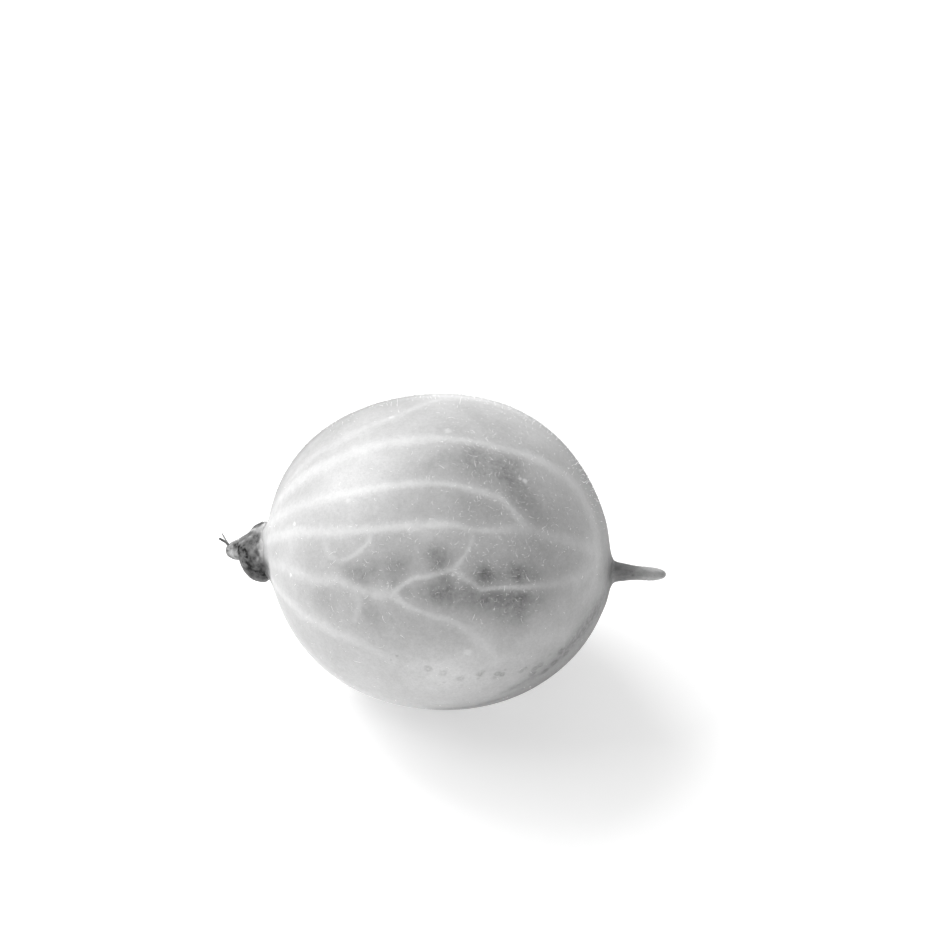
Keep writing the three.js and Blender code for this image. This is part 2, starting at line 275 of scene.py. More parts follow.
def hidden_veins():
    """The veins of the sides that are turned away: the same kind, each with a fork or a link."""
    rng = np.random.default_rng(41)
    out = []
    for phi, strength in ((-52, 0.4), (-70, 0.85), (-93, 0.9), (-117, 0.85), (-140, 0.95), (-163, 0.9), (174, 0.95), (150, 0.9)):
        a = np.array([12, 28, 44, 60, 76, 92, 108, 124, 140, 155, 167])
        drift = np.cumsum(rng.normal(0, 2.2, len(a)))
        drift -= np.linspace(drift[0], drift[-1] * 0.6, len(a))
        wide = np.interp(a, [12, 40, 90, 124, 167], [0.42, 0.36, 0.2, 0.2, 0.4])
        deep = strength * np.interp(a, [12, 60, 110, 167], [0.9, 1.0, 0.85, 0.4])
        route = [(float(x), float(phi + y), float(w), float(t)) for x, y, w, t in zip(a, drift, wide, deep)]
        out.append(route)
        start = int(rng.integers(4, 7))
        side = 1 if rng.random() < 0.5 else -1
        a0, p0 = route[start][:2]
        branch = [(a0, p0, 0.22, 0.8 * strength)]
        for k in range(1, 5):
            branch.append((a0 + 6.5 * k, p0 + side * (3.2 * k + rng.normal(0, 0.8)), 0.15 + 0.03 * k, (0.85 - 0.13 * k) * strength))
        out.append(branch)
        if phi == 150:
            out.append([(100, 143, 0.2, 0.3), (114, 140, 0.22, 0.6), (128, 139, 0.25, 0.6), (140, 141, 0.3, 0.5), (152, 146, 0.35, 0.35), (165, 150, 0.4, 0.2)])
        if rng.random() < 0.7:
            a1, p1 = route[int(rng.integers(2, 4))][:2]
            out.append([(a1, p1, 0.13, 0.5 * strength), (a1 + 4, p1 - side * 3.5, 0.12, 0.7 * strength),
                        (a1 + 10, p1 - side * 5.5, 0.12, 0.65 * strength), (a1 + 17, p1 - side * 5, 0.15, 0.3 * strength)])
    return out


def spline(points, step=0.35):
    """Catmull-Rom through the points, about `step` mm apart, with the share of the way along.
    Columns after the third ride along with the position."""
    p = np.asarray(points, float)
    p = np.vstack([2 * p[0] - p[1], p, 2 * p[-1] - p[-2]])
    out = []
    for k in range(1, len(p) - 2):
        n = max(2, int(np.linalg.norm((p[k + 1] - p[k])[:3]) / step) + 1)
        t = np.linspace(0, 1, n, endpoint=False)[:, None]
        out.append(0.5 * (2 * p[k] + (p[k + 1] - p[k - 1]) * t
                          + (2 * p[k - 1] - 5 * p[k] + 4 * p[k + 1] - p[k + 2]) * t ** 2
                          + (3 * p[k] - p[k - 1] - 3 * p[k + 1] + p[k + 2]) * t ** 3))
    out.append(p[-2][None])
    out = np.vstack(out)
    along = np.r_[0, np.cumsum(np.linalg.norm(np.diff(out[:, :3], axis=0), axis=1))]
    return out, along / along[-1]


def near_path(points, path, reach=1.8):
    """Distance of each point to a path, and the share of the way along it, within reach."""
    best = np.full(len(points), 1e9)
    where = np.zeros(len(points))
    line, along = path
    line = line[:, :3]
    lo, hi = line.min(0) - reach, line.max(0) + reach
    sel = np.where(((points > lo) & (points < hi)).all(1))[0]
    if not len(sel):
        return best, where
    q = points[sel]
    b, w = best[sel], where[sel]
    for k in range(len(line) - 1):
        a, ab = line[k], line[k + 1] - line[k]
        t = np.clip(((q - a) @ ab) / max(ab @ ab, 1e-12), 0, 1)
        dist = np.linalg.norm(q - a - t[:, None] * ab, axis=1)
        closer = dist < b
        b = np.where(closer, dist, b)
        w = np.where(closer, along[k] + t * (along[k + 1] - along[k]), w)
    best[sel], where[sel] = b, w
    return best, where


def on_skin(route):
    """A route of (a, phi, ...) as a curve on the smooth skin, its other columns beside it."""
    r = np.array(route, float)
    d = direction(r[:, 0], r[:, 1])
    return spline(np.hstack([d * skin_radius(d)[:, None], r[:, 2:]]))


def vein_field(points):
    """Three values at each point of the smooth skin: how far it is from the nearest vein in half
    widths of that vein, that vein's strength, and a soft glow beside the veins."""
    uneven = 1 + 0.22 * vnoise(points, 0.9, 5) + 0.14 * vnoise(points, 2.3, 6)
    near, strong, glow, score = (np.full(len(points), v) for v in (3.0, 0.0, 0.0, -1.0))
    for route in VEINS + hidden_veins():
        path = on_skin(route)
        dist, t = near_path(points, path)
        width = np.interp(t, path[1], path[0][:, 3])
        strength = np.interp(t, path[1], path[0][:, 4])
        x = np.clip(dist / (width * uneven), 0, 3)
        value = strength * (1 - smooth(0.5, 1.3, x)) + 1e-3 * (3 - x)
        better = value > score
        near, strong, score = np.where(better, x, near), np.where(better, strength, strong), np.where(better, value, score)
        glow = np.maximum(glow, strength * np.exp(-(dist / (1.1 * width + 0.22)) ** 2))
    return near, strong, glow


SEEDS = [  # (a, phi), radius mm, strength
    (92.5, 42.1, 0.75, 0.62), (93.8, 38.6, 0.50, 0.52), (79.1, 36.9, 0.65, 0.50), (93.2, 27.6, 0.80, 0.70), (88.7, 28.8, 0.60, 0.22),
    (98.0, 26.6, 0.70, 0.40), (108.9, 34.8, 0.60, 1.00), (109.9, 25.8, 0.70, 0.74), (114.4, 26.3, 0.60, 0.46), (119.0, 25.9, 0.60, 0.72),
    (123.1, 25.9, 0.50, 0.72), (121.7, 21.9, 0.75, 0.58), (116.4, 20.2, 1.00, 0.35), (121.9, 15.4, 0.90, 0.30), (104.1, 25.6, 0.80, 0.35),
    (122.0, 34.6, 0.60, 0.86), (119.0, 36.4, 0.45, 0.45), (127.0, 33.8, 0.50, 0.34), (66.0, 31.9, 0.80, 0.45), (71.0, 35.3, 0.70, 0.35),
    (61.8, 33.7, 0.60, 0.30), (69.1, 18.9, 0.90, 0.30), (51.5, 18.9, 0.80, 0.25), (114.5, 73.1, 1.00, 0.62), (102.1, 81.3, 0.75, 0.55),
    (104.6, 73.8, 0.90, 0.38), (117.4, 80.2, 0.80, 0.40), (122.7, 64.3, 1.00, 0.42), (119.1, 68.8, 0.90, 0.30), (109.3, 77.4, 0.90, 0.38),
    (127.3, 73.6, 1.00, 0.05), (137.1, 40.7, 1.80, 0.15), (118.1, 41.4, 1.20, 0.20), (130.6, 42.7, 1.20, 0.15), (104, 60, 1.3, 0.2),
    (84, 14, 1.8, 0.15), (100, 8, 1.8, 0.15), (94.0, 34.6, 0.60, 0.50), (96.2, 29.8, 0.55, 0.45), (78.2, 30.9, 0.70, 0.38),
    (81.8, 28.3, 0.50, 0.32), (104.0, 29.6, 0.65, 0.46), (114.2, 33.8, 0.40, 0.35), (128.4, 23.3, 0.80, 0.36), (92.7, 77.4, 0.70, 0.34),
    (99.0, 75.4, 0.75, 0.32), (88.9, 72.2, 0.60, 0.25),
]


def hidden_seeds():
    rng = np.random.default_rng(77)
    out = []
    for middle in (-62.0, 165.0):
        for a in np.linspace(52, 132, 9):
            out.append((a + rng.normal(0, 4), middle + rng.normal(0, 7), rng.uniform(0.55, 1.1), rng.uniform(0.45, 0.9)))
    for _ in range(16):
        out.append((rng.uniform(45, 140), rng.uniform(-165, -20), rng.uniform(0.8, 1.7), rng.uniform(0.15, 0.4)))
    return out


def seed_field(points):
    warp = np.stack([vnoise(points, 0.9, s) for s in (11, 12, 13)], -1) * 0.16
    q = points + warp
    total = np.zeros(len(points))
    for a, phi, radius, strength in SEEDS + hidden_seeds():
        c = direction(a, phi)
        c = c * skin_radius(c)
        dist2 = ((q - c) ** 2).sum(1)
        total = 1 - (1 - total) * (1 - strength * np.exp(-dist2 / radius ** 2) * 0.9)
    return np.clip(total, 0, 1)


# Small corky marks low on the stalk end: (a, phi), radius mm, darkness, how much paler the middle is.
SPOTS = [
    (89.9, -3.1, 0.26, 0.24, 0.85), (95.1, -5.2, 0.26, 0.19, 0.85), (101.2, -8.6, 0.24, 0.2, 0.6), (107.9, -7.2, 0.22, 0.30, 0.5),
    (109.0, -5.6, 0.16, 0.16, 0.0), (112.9, -10.9, 0.14, 0.15, 0.0), (114.0, -8.9, 0.20, 0.30, 0.6), (115.8, -9.9, 0.20, 0.32, 0.4),
    (122.6, -11.8, 0.19, 0.30, 0.6), (124.2, -11.0, 0.15, 0.28, 0.2), (126.9, -18.2, 0.26, 0.30, 0.5), (127.9, -14.8, 0.24, 0.28, 0.5),
    (130.1, -14.3, 0.24, 0.28, 0.5), (131.9, -22.5, 0.27, 0.32, 0.4), (135.6, -19.9, 0.30, 0.30, 0.6), (138.5, -13.1, 0.27, 0.30, 0.3),
    (140.8, -20.0, 0.25, 0.26, 0.3), (133.8, -10.4, 0.16, 0.14, 0.3), (79.1, 1.5, 0.09, 0.26, 0.0), (76.9, -1.0, 0.08, 0.2, 0.0),
    (95.5, -10.5, 0.12, 0.12, 0.3), (101.5, -12.5, 0.12, 0.1, 0.0), (107.2, -9.6, 0.12, 0.16, 0.0), (116.8, -7.6, 0.11, 0.15, 0.0),
]
FLECKS = [  # small pale scars: (a, phi), radius mm, strength
    (36.6, 54.3, 0.14, 0.7), (34.7, 25.0, 0.14, 0.8), (121.5, 72.8, 0.2, 0.6), (119.6, 73.2, 0.13, 0.5), (103.7, 4.5, 0.26, 0.35),
    (93.2, 89.5, 0.24, 0.35), (60, 60.8, 0.17, 0.4), (72.5, 100, 0.18, 0.3), (98, 34.2, 0.1, 0.5),
]
SCARS = [  # routes: (a, phi), half width mm, strength
    [(170, -4, 0.8, 0.15), (163, -7.5, 0.9, 0.35), (157.9, -8.6, 0.9, 0.5), (153.2, -9.2, 0.9, 0.55), (148.7, -11.5, 0.85, 0.55), (144.6, -13.2, 0.75, 0.55),
     (140.8, -15.6, 0.6, 0.45), (137.3, -18.9, 0.5, 0.38), (133.1, -21.3, 0.45, 0.32), (127.9, -21.8, 0.4, 0.34), (122.6, -23.2, 0.34, 0.42),
     (117.8, -24.3, 0.3, 0.42), (111.2, -27.4, 0.28, 0.35)],
    [(120, -31, 0.3, 0.2), (112, -33, 0.3, 0.35), (103.5, -36, 0.32, 0.4), (96.9, -36.5, 0.32, 0.4), (88, -36.5, 0.3, 0.2)],
]


def scar_field(points):
    """The weathered streaks low on the stalk end."""
    total = np.zeros(len(points))
    for route in SCARS:
        path = on_skin(route)
        dist, t = near_path(points, path)
        width = np.interp(t, path[1], path[0][:, 3])
        strength = np.interp(t, path[1], path[0][:, 4]) * smooth(0, 0.08, t) * smooth(0, 0.12, 1 - t)
        total = np.maximum(total, strength * np.exp(-(dist / width) ** 2))
    return total


# Broad paler and darker zones in the skin's colour. Bands are routes of (a, phi, half width mm, gain): painted shade
# along the berry's outline seen from the front, and one painted pale band low towards the flower end where light falls;
# zones are (a, phi, radius mm, gain): broad paler and darker patches, partly the flesh's own uneven tone and partly
# painted light and shade. A gain of 0.1 is a tenth paler.
OUTLINE_PAINTED_LIGHT_AND_SHADE = [
    [(84, -43, 2.2, 0.0), (96, -44.5, 2.5, -0.45), (112, -45.5, 3.0, -0.75), (130, -46, 3.1, -0.85), (150, -46.7, 3.2, -0.85),
     (166, -47, 3.3, -0.7), (177, 40, 3.3, -0.55), (166, 131, 3.2, -0.65), (150, 131, 2.8, -0.72), (136, 130.5, 2.4, -0.55),
     (120, 130, 2.2, -0.25), (104, 129, 2.2, 0.0)],
    [(88, 128, 2.2, 0.0), (75, 127.5, 2.4, -0.6), (55, 125.5, 2.4, -0.82), (35, 121, 2.4, -0.85), (20, 112, 2.2, -0.6), (12, 100, 2.0, -0.3),
     (8, 60, 1.6, 0.0)],
    [(20, -28, 2.0, 0.0), (34, -36.5, 2.0, 0.12), (57, -41.5, 2.0, 0.12), (81, -43.8, 2.0, 0.06), (93, -44.5, 2.0, 0.0)],
]
TONE_AND_PAINTED_LIGHT_ZONES = [
    (65.4, 69.5, 2.6, 0.22), (52.6, 62.2, 2.4, 0.09), (129.6, 69.7, 1.7, 0.15), (94.1, -2.6, 2.6, 0.21), (65.1, -10.3, 2.6, 0.06),
    (113.7, 45.6, 1.6, 0.12), (137.0, 43.1, 1.5, 0.1), (91.5, 46.1, 1.5, 0.18), (22.7, 37.8, 1.3, -0.12), (133.2, 26.9, 1.6, -0.14),
    (154.0, 48.5, 1.1, 0.14), (124.1, 102.6, 1.3, 0.14), (131.2, 59.8, 1.1, -0.12), (114.9, 1.2, 2.2, 0.05),
    (129, -16, 1.3, -0.15), (138.5, -16, 1.2, -0.13), (153, -13, 1.2, -0.08),
    (140, 97, 1.5, -0.09), (109, 27, 1.5, -0.08), (94, 35, 1.1, -0.09), (126, 60, 0.8, -0.09), (87, 54, 1.0, -0.06), (116, -22, 1.4, 0.05),
]


FRONT = np.array([0.058, -0.741, 0.669])
BACK = np.array([-0.5, 0.5, 0.707])


def tone_with_painted_light_and_shade(points):
    total = np.zeros(len(points))
    facing = unit(points) @ FRONT
    # painted shade (and one painted pale band) along the outline seen from the front, faded out where the skin turns
    # away
    for route in OUTLINE_PAINTED_LIGHT_AND_SHADE:
        path = on_skin(route)
        dist, t = near_path(points, path, 9.0)
        width = np.interp(t, path[1], path[0][:, 3])
        total += np.interp(t, path[1], path[0][:, 4]) * np.exp(-np.minimum(dist / width, 6) ** 2) * smooth(-0.42, 0.03, facing)
    # broad zones: the listed ones are partly the flesh's own tone and partly painted light and shade; the hidden ones
    # are random tone
    rng = np.random.default_rng(58)
    hidden = [(rng.uniform(40, 145), rng.uniform(-170, -55), rng.uniform(1.6, 2.8), rng.normal(0, 0.11)) for _ in range(9)]
    hidden += [(rng.uniform(40, 145), rng.uniform(135, 185), rng.uniform(1.6, 2.8), rng.normal(0, 0.11)) for _ in range(4)]
    for a, phi, radius, gain in TONE_AND_PAINTED_LIGHT_ZONES + hidden:
        c = direction(a, phi)
        c = c * skin_radius(c)
        total += gain * np.exp(-((points - c) ** 2).sum(1) / radius ** 2)
    # painted shade over the sides turned away from the front, deepest towards BACK and round the stalk end
    away = 1 - smooth(-0.42, 0.02, facing)
    stalk_end = np.exp(-((1 - unit(points)[:, 0]) / 0.5) ** 2)
    total -= away * (0.14 + 0.54 * smooth(-0.25, 0.80, unit(points) @ BACK) + 0.26 * stalk_end)
    return np.exp(total)


# ---------------------------------------------------------------- the berry
def toward(d, base):
    return np.degrees(np.arccos(np.clip(d @ unit(base), -1, 1)))


def skin_point(d, vein=0.0):
    r = skin_radius(d)
    p = d * r[:, None]
    r = r + 0.03 * fbm(p, 0.16, 31, 2) + 0.008 * vnoise(p, 0.9, 33)
    r = r + 0.020 * vein
    # the skin sweeps up into the stalk
    r = r + 1 / (1 / 0.25 + 1 / (3.0 * np.exp(-toward(d, STALK_BASE) / 1.5)))
    r = r - 0.065 * np.exp(-(toward(d, np.array([1.0, 0, 0]) + 0.085 * CROWN) / 5.5) ** 2)
    r = r + 0.05 * np.exp(-(toward(d, np.array([1.0, 0, 0]) - 0.24 * CROWN) / 4.5) ** 2)
    # on one side it also runs up smoothly into the dry calyx
    q = d * r[:, None] - FLOWER_BASE
    facing = (q @ ACROSS) / np.maximum(np.hypot(q @ UP, q @ ACROSS), 1e-6)
    beyond = np.clip(toward(d, FLOWER_BASE) - 9.4, 0, None)
    r = r + smooth(0.05, 0.75, facing) * (0.14 * np.exp(-beyond / 3.6) + 0.24 * np.exp(-beyond / 1.2))
    p = d * r[:, None]
    z = p[:, 2] + CENTRE[2]
    p[:, 2] = 0.5 * (z + np.sqrt(z * z + 0.02)) - 0.004 - CENTRE[2]
    return p


dirs, quads, quad_uvs = cube_sphere(128)
smooth_skin = dirs * skin_radius(dirs)[:, None]
vein_near, vein_strong, vein_glow = vein_field(smooth_skin)
seed = seed_field(smooth_skin)
scar = scar_field(smooth_skin)
from_stalk = toward(dirs, STALK_BASE)
# painted shade: the skin is darker round the stalk's root, eased off right at the root
painted_stalk_shade = 0.51 * np.exp(-(from_stalk / 12.0) ** 3) - 0.20 * np.exp(-(from_stalk / 5.6) ** 2)
flower_near = np.exp(-(toward(dirs, FLOWER_BASE) / 13.0) ** 2)
from_cup = toward(dirs, FLOWER_BASE) - 9.4
cup_side = np.degrees(np.arctan2((smooth_skin - FLOWER_BASE) @ ACROSS, (smooth_skin - FLOWER_BASE) @ UP))
cup_stain = np.interp(cup_side, [-180, -60, -20, 10, 30, 60, 88, 100, 115, 160, 180],
                      [0.25, 0.3, 0.3, 0.2, 0.05, 0.0, 0.04, 0.3, 0.74, 0.72, 0.3])
from_cup = from_cup - np.interp(cup_side, [-180, 85, 108, 150, 180], [0, 0, 1.3, 1.6, 0])
# painted light: the skin is paler along the seam with the calyx, between its top and front, lifting the crease's shade
lit_seam = 1 + 0.35 * np.exp(-(np.clip(from_cup, 0, None) / 1.3) ** 2) * smooth(5, 25, cup_side) * (1 - smooth(88, 112, cup_side))
berry = make_object(
    "berry_skin_and_flesh", skin_point(dirs, vein_strong * (1 - smooth(0.2, 1.6, vein_near))), quads, quad_uvs,
    {"vein_near": vein_near, "vein_strong": vein_strong, "vein_glow": vein_glow, "seed": seed, "scar": scar,
     "tone": tone_with_painted_light_and_shade(smooth_skin) * lit_seam,
     "painted_stalk_shade": painted_stalk_shade, "flower_near": flower_near, "from_cup": from_cup, "cup_stain": cup_stain},
)


# ---------------------------------------------------------------- fine hairs on the skin
def hair_mesh(name, roots, tangents_mm, radius, tip_share=0.3):
    """roots: (n,3); tangents_mm: (n,k,3) successive steps; one closed thorn-like thread each."""
    n, k = tangents_mm.shape[:2]
    line = np.concatenate([roots[:, None], roots[:, None] + np.cumsum(tangents_mm, axis=1)], axis=1)  # n, k+1
    axis = unit(np.gradient(line, axis=1))
    ref = unit(np.cross(axis[:, 0], np.random.default_rng(3).normal(size=(n, 3))))
    verts = []
    for j in range(k):
        side = unit(ref - (ref * axis[:, j]).sum(1, keepdims=True) * axis[:, j])
        other = np.cross(axis[:, j], side)
        r = (radius * (1 - (1 - tip_share) * j / k))[:, None]
        for s in range(3):
            t = 2 * math.pi * s / 3
            verts.append(line[:, j] + r * (math.cos(t) * side + math.sin(t) * other))
    verts.append(line[:, k])
    verts = np.stack(verts, 1)  # n, 3k+1, 3
    per = 3 * k + 1
    tris, uv = [], []
    for j in range(k - 1):
        for s in range(3):
            a, b = 3 * j + s, 3 * j + (s + 1) % 3
            c, d = a + 3, b + 3
            tris += [(a, b, d), (a, d, c)]
            u0, u1, v0, v1 = s / 3, (s + 1) / 3, j / k, (j + 1) / k
            uv += [((u0, v0), (u1, v0), (u1, v1)), ((u0, v0), (u1, v1), (u0, v1))]
    for s in range(3):
        a, b = 3 * (k - 1) + s, 3 * (k - 1) + (s + 1) % 3
        tris.append((a, b, 3 * k))
        uv.append(((s / 3, (k - 1) / k), ((s + 1) / 3, (k - 1) / k), ((s + 0.5) / 3, 1.0)))
    tris.append((0, 2, 1))
    uv.append(((0.0, 0.0), (0.1, 0.05), (0.2, 0.0)))
    tris, uv = np.array(tris), np.array(uv)
    cells = int(math.ceil(math.sqrt(n)))
    cell = np.stack([np.arange(n) % cells, np.arange(n) // cells], -1) / cells
    all_uv = cell[:, None, None] + (0.1 + 0.8 * uv[None]) / cells
    all_tris = tris[None] + (np.arange(n) * per)[:, None, None]
    return make_object(name, verts.reshape(-1, 3), all_tris.reshape(-1, 3), all_uv.reshape(-1, 3, 2))


def spread(n, seed):
    """n directions evenly over the sphere, each moved a little."""
    rng = np.random.default_rng(seed)
    i = np.arange(n) + 0.5
    z = 1 - 2 * i / n
    t = math.pi * (1 + 5 ** 0.5) * i
    r = np.sqrt(1 - z * z)
    d = np.stack([r * np.cos(t), r * np.sin(t), z], -1)
    return unit(d + rng.normal(size=(n, 3)) * 1.6 / math.sqrt(n))


HAIR_TUFTS = [  # (a, phi), mm, how thick
    (111.5, 56, 4.6, 0.80), (108, 84, 2.6, 0.65), (111, 31, 2.0, 0.85), (121.5, 29, 2.0, 0.45), (130, 60, 2.2, 0.40), (61.9, 27, 2.9, 0.62),
    (79.7, 37, 2.2, 0.35), (53.8, 10, 2.6, 0.25), (94, 32, 1.2, 0.6), (150, 108, 2.2, 0.25), (112, 128, 2.2, 0.30), (60, 124, 2.6, 0.30),
    (95, -125, 9.0, 0.55),
]


def hair_density(d):
    p = d * skin_radius(d)[:, None]
    total = np.full(len(d), 0.015)
    for a, phi, reach, amount in HAIR_TUFTS:
        c = direction(a, phi)
        total += amount * np.exp(-((p - c * skin_radius(c)) ** 2).sum(1) / reach ** 2)
    return np.minimum(total, 1.3) * smooth(12, 40, toward(d, STALK_BASE))


def down_density(d):
    """The upright down, thick over the top of the fruit."""
    facing = d @ FRONT
    top = smooth(-0.15, 0.35, d @ np.array([0.05, 0.55, 0.83])) * smooth(14, 34, toward(d, STALK_BASE)) * smooth(13, 26, toward(d, FLOWER_BASE))
    return top * (1 - smooth(0.12, 0.2, facing)) * (0.35 + 0.65 * smooth(-0.75, -0.1, facing))


def front_down_density(d):
    """It thins out over the broad face."""
    facing = d @ FRONT
    top = smooth(-0.15, 0.35, d @ np.array([0.05, 0.55, 0.83])) * smooth(14, 34, toward(d, STALK_BASE)) * smooth(13, 26, toward(d, FLOWER_BASE))
    return top * smooth(0.12, 0.2, facing) * np.exp(-(np.maximum(facing - 0.1, 0) / 0.28) ** 2) * smooth(-0.75, 0.1, d[:, 0])


def skin_hairs(name, count, seed, length, lean, curl, radius, steps, density=None):
    rng = np.random.default_rng(seed)
    d = spread(count, seed)
    p = skin_point(d)
    ok = (p[:, 2] + CENTRE[2] > 0.25) & (toward(d, STALK_BASE) > 9) & (toward(d, FLOWER_BASE) > 11)
    clump = 0.5 + 0.5 * fbm(p, 0.55, 51, 2)
    thickly = (density or hair_density)(d)
    ok &= rng.random(count) < (0.35 + 0.95 * clump) * thickly
    d, p, thickly = d[ok], p[ok], thickly[ok]
    n = len(d)
    long = (length[0] + (length[1] - length[0]) * rng.random(n) ** 1.6) * (0.7 + 0.3 * np.minimum(thickly, 1))
    tilt = np.radians(lean[0] + (lean[1] - lean[0]) * rng.random(n))
    around = unit(np.cross(d, rng.normal(size=(n, 3))))
    bend = unit(np.cross(d, rng.normal(size=(n, 3))))
    heading = np.cos(tilt)[:, None] * d + np.sin(tilt)[:, None] * around
    moves = []
    spin = rng.normal(0, 1, n)
    for j in range(steps):
        moves.append(heading * (long / steps)[:, None])
        heading = unit(heading + curl * (rng.random(n)[:, None] * 0.6 + 0.7) / steps * bend
                       + 0.25 * curl / steps * rng.normal(size=(n, 3)))
        turn = curl * 0.9 * spin / steps
        bend = unit(bend * np.cos(turn)[:, None] + np.cross(d, bend) * np.sin(turn)[:, None])
        # never back into the skin
        low = (heading * d).sum(1, keepdims=True)
        heading = unit(heading + np.maximum(0.12 - low, 0) * d)
    thick = radius[0] + (radius[1] - radius[0]) * rng.random(n)
    return hair_mesh(name, p - 0.03 * d, np.stack(moves, 1), thick)


short_hairs = skin_hairs("skin_hairs_short", 20000, 101, (0.08, 0.31), (48, 84), 0.9, (0.006, 0.0125), 2)
curled_hairs = skin_hairs("skin_hairs_curled", 5200, 303, (0.26, 0.58), (58, 84), 2.4, (0.0065, 0.0105), 5)
long_hairs = skin_hairs("skin_hairs_long", 220, 202, (0.5, 0.95), (60, 84), 1.8, (0.008, 0.012), 6)
down_hairs = skin_hairs("skin_hairs_upright", 14000, 404, (0.16, 0.46), (4, 40), 0.7, (0.010, 0.016), 3, down_density)
front_down = skin_hairs("skin_hairs_upright_front", 11000, 505, (0.10, 0.30), (8, 52), 0.7, (0.008, 0.013), 3, front_down_density)


# ---------------------------------------------------------------- the stalk
def profile_radius(points, s):
    x, y = np.array(points, float).T
    return np.interp(s, x, y)


def round_profile(points, s):
    """The profile with its corners eased."""
    x, y = np.array(points, float).T
    return (np.interp(s - 0.035, x, y) + 2 * np.interp(s, x, y) + np.interp(s + 0.035, x, y)) / 4


def angle_from(theta_deg, middle):
    return (theta_deg - middle + 180) % 360 - 180


def patches(out, turn, items, scale):
    """Soft patches on a turned surface. items: (mm out, degrees round, mm wide, strength) or a list of
    such points joined up; scale: mm per degree."""
    total = np.zeros(out.shape)
    for item in items:
        points = item if isinstance(item, list) else [item]
        for k in range(max(1, len(points) - 1)):
            s0, t0, w0, g0 = points[k]
            s1, t1, w1, g1 = points[min(k + 1, len(points) - 1)]
            x, y = out - s0, angle_from(turn, t0) * scale
            dx, dy = s1 - s0, (t1 - t0) * scale
            f = np.clip((x * dx + y * dy) / max(dx * dx + dy * dy, 1e-9), 0, 1)
            far = np.hypot(x - f * dx, y - f * dy)
            w, g = w0 + (w1 - w0) * f, g0 + (g1 - g0) * f
            total = np.maximum(total, g * np.exp(-(far / w) ** 2))
    return total


def bent_tube(samples, around, centre, side, other, radii, change):
    """rows of points round a line; change(theta, s, p) moves the radius."""
    theta = np.arange(around) * 2 * math.pi / around
    c, s = np.cos(theta)[None, :, None], np.sin(theta)[None, :, None]
    ring = c * side + s * other
    p = centre[:, None, :] + radii[:, None, None] * ring
    p = p + change(theta[None, :], samples[:, None], p)[..., None] * ring
    return p


STALK_PROFILE = [(-0.6, 1.6), (-0.3, 1.27), (-0.12, 1.05), (-0.08, 0.995), (-0.04, 0.935), (0.0, 0.88), (0.05, 0.81), (0.1, 0.758),
                 (0.15, 0.718), (0.2, 0.688), (0.293, 0.642), (0.487, 0.588), (0.86, 0.54), (1.25, 0.485), (1.65, 0.453), (2.1, 0.434), (2.45, 0.420), (2.8, 0.391),
                 (3.09, 0.320), (3.26, 0.262), (3.38, 0.185), (3.44, 0.10), (3.46, 0.0)]
rings, around = 110, 72
u = np.linspace(0, 1, rings)
along = -0.6 + 4.06 * (1 - (1 - u) ** 1.25)
along[-14:] = np.interp(np.linspace(0, 1, 14) ** 0.6, [0, 1], [along[-14], 3.46])
centre = STALK_BASE + along[:, None] * np.array([1.0, 0, 0])
centre = centre + (-0.022 - 0.012 * along + 0.012 * np.sin(along * 1.9))[:, None] * CROWN


def stalk_change(theta, s, p):
    grow = smooth(0.1, 0.6, s)
    ribs = 0.012 * np.sin(5 * theta + 0.8 * s) + 0.008 * np.sin(11 * theta - 1.3 * s)
    rough = 0.016 * fbm(p * np.array([0.45, 1, 1]), 2.6, 61, 3) + 0.006 * vnoise(p, 7.0, 64)
    fade = smooth(0.0, 0.25, 3.46 - s)
    return (ribs * grow + rough) * fade


points = bent_tube(along, around, centre, CROWN, np.cross(np.array([1.0, 0, 0]), CROWN),
                   profile_radius(STALK_PROFILE, along), stalk_change)


def skin_height(side):
    """How far along +X the skin lies, at sideways offsets (n, 3) from the middle of the fruit."""
    x = np.full(len(side), 10.9)
    for _ in range(5):
        r = np.linalg.norm(skin_point(unit(side + x[:, None] * np.array([1.0, 0, 0]))), axis=1)
        x = np.sqrt(np.maximum(r * r - (side * side).sum(1), 1.0))
    return x


# the foot: from well outside, under the skin, up to where the plain stalk begins
foot = np.linspace(1.3, 0.715, 20)
lateral = centre[0] * np.array([0.0, 1, 1])
ring_dirs = unit((points[0] - centre[0]) * np.array([0.0, 1, 1]))
known_s, known_r = np.array(STALK_PROFILE, float).T
foot_s = np.interp(-foot, -known_r, known_s)
foot_rows = []
for rho, s_here in zip(foot, foot_s):
    side = lateral + rho * ring_dirs
    skin = skin_height(side)
    stem = STALK_BASE[0] + s_here
    top = 0.5 * (skin + stem + np.sqrt((skin - stem) ** 2 + 0.07 ** 2))
    top -= 0.012 * smooth(0.85, 1.08, rho) + 0.06 * smooth(1.08, 1.3, rho)
    foot_rows.append(side + top[:, None] * np.array([1.0, 0, 0]))
plain = along > 0.165
points = np.concatenate([np.stack(foot_rows), points[plain]])
rim = np.r_[smooth(0.74, 1.0, foot), np.zeros(plain.sum())]
along = np.r_[foot_s, along[plain]]
rings = len(along)
q, w = tube_grid(rings, around)
verts, tris, tuv, used = closed_ends(points, q, w)
if not facing_out(verts, tris):
    tris, tuv = tris[:, ::-1], tuv[:, ::-1]
turned = np.degrees(np.tile(np.arange(around) * 2 * math.pi / around, rings))[used]
STALK_DARK = [(0.1, 57, 0.22, 0.35), (0.46, 66, 0.2, 0.25), (1.36, 112, 0.09, 0.6), [(2.12, 115, 0.08, 0.12), (2.57, 118, 0.08, 0.1)],
              [(0.66, 85, 0.14, 0.2), (1.17, 89, 0.14, 0.25)], (0.9, 215, 0.12, 0.5), (1.9, 300, 0.1, 0.5), (2.4, 220, 0.08, 0.4)]
far_out = np.repeat(along, around)[used]
stalk = make_object("fruit_stalk", verts, tris, tuv, {"along": far_out, "dark": patches(far_out, turned, STALK_DARK, 0.009),
                                                     "rim": np.repeat(rim, around)[used]})


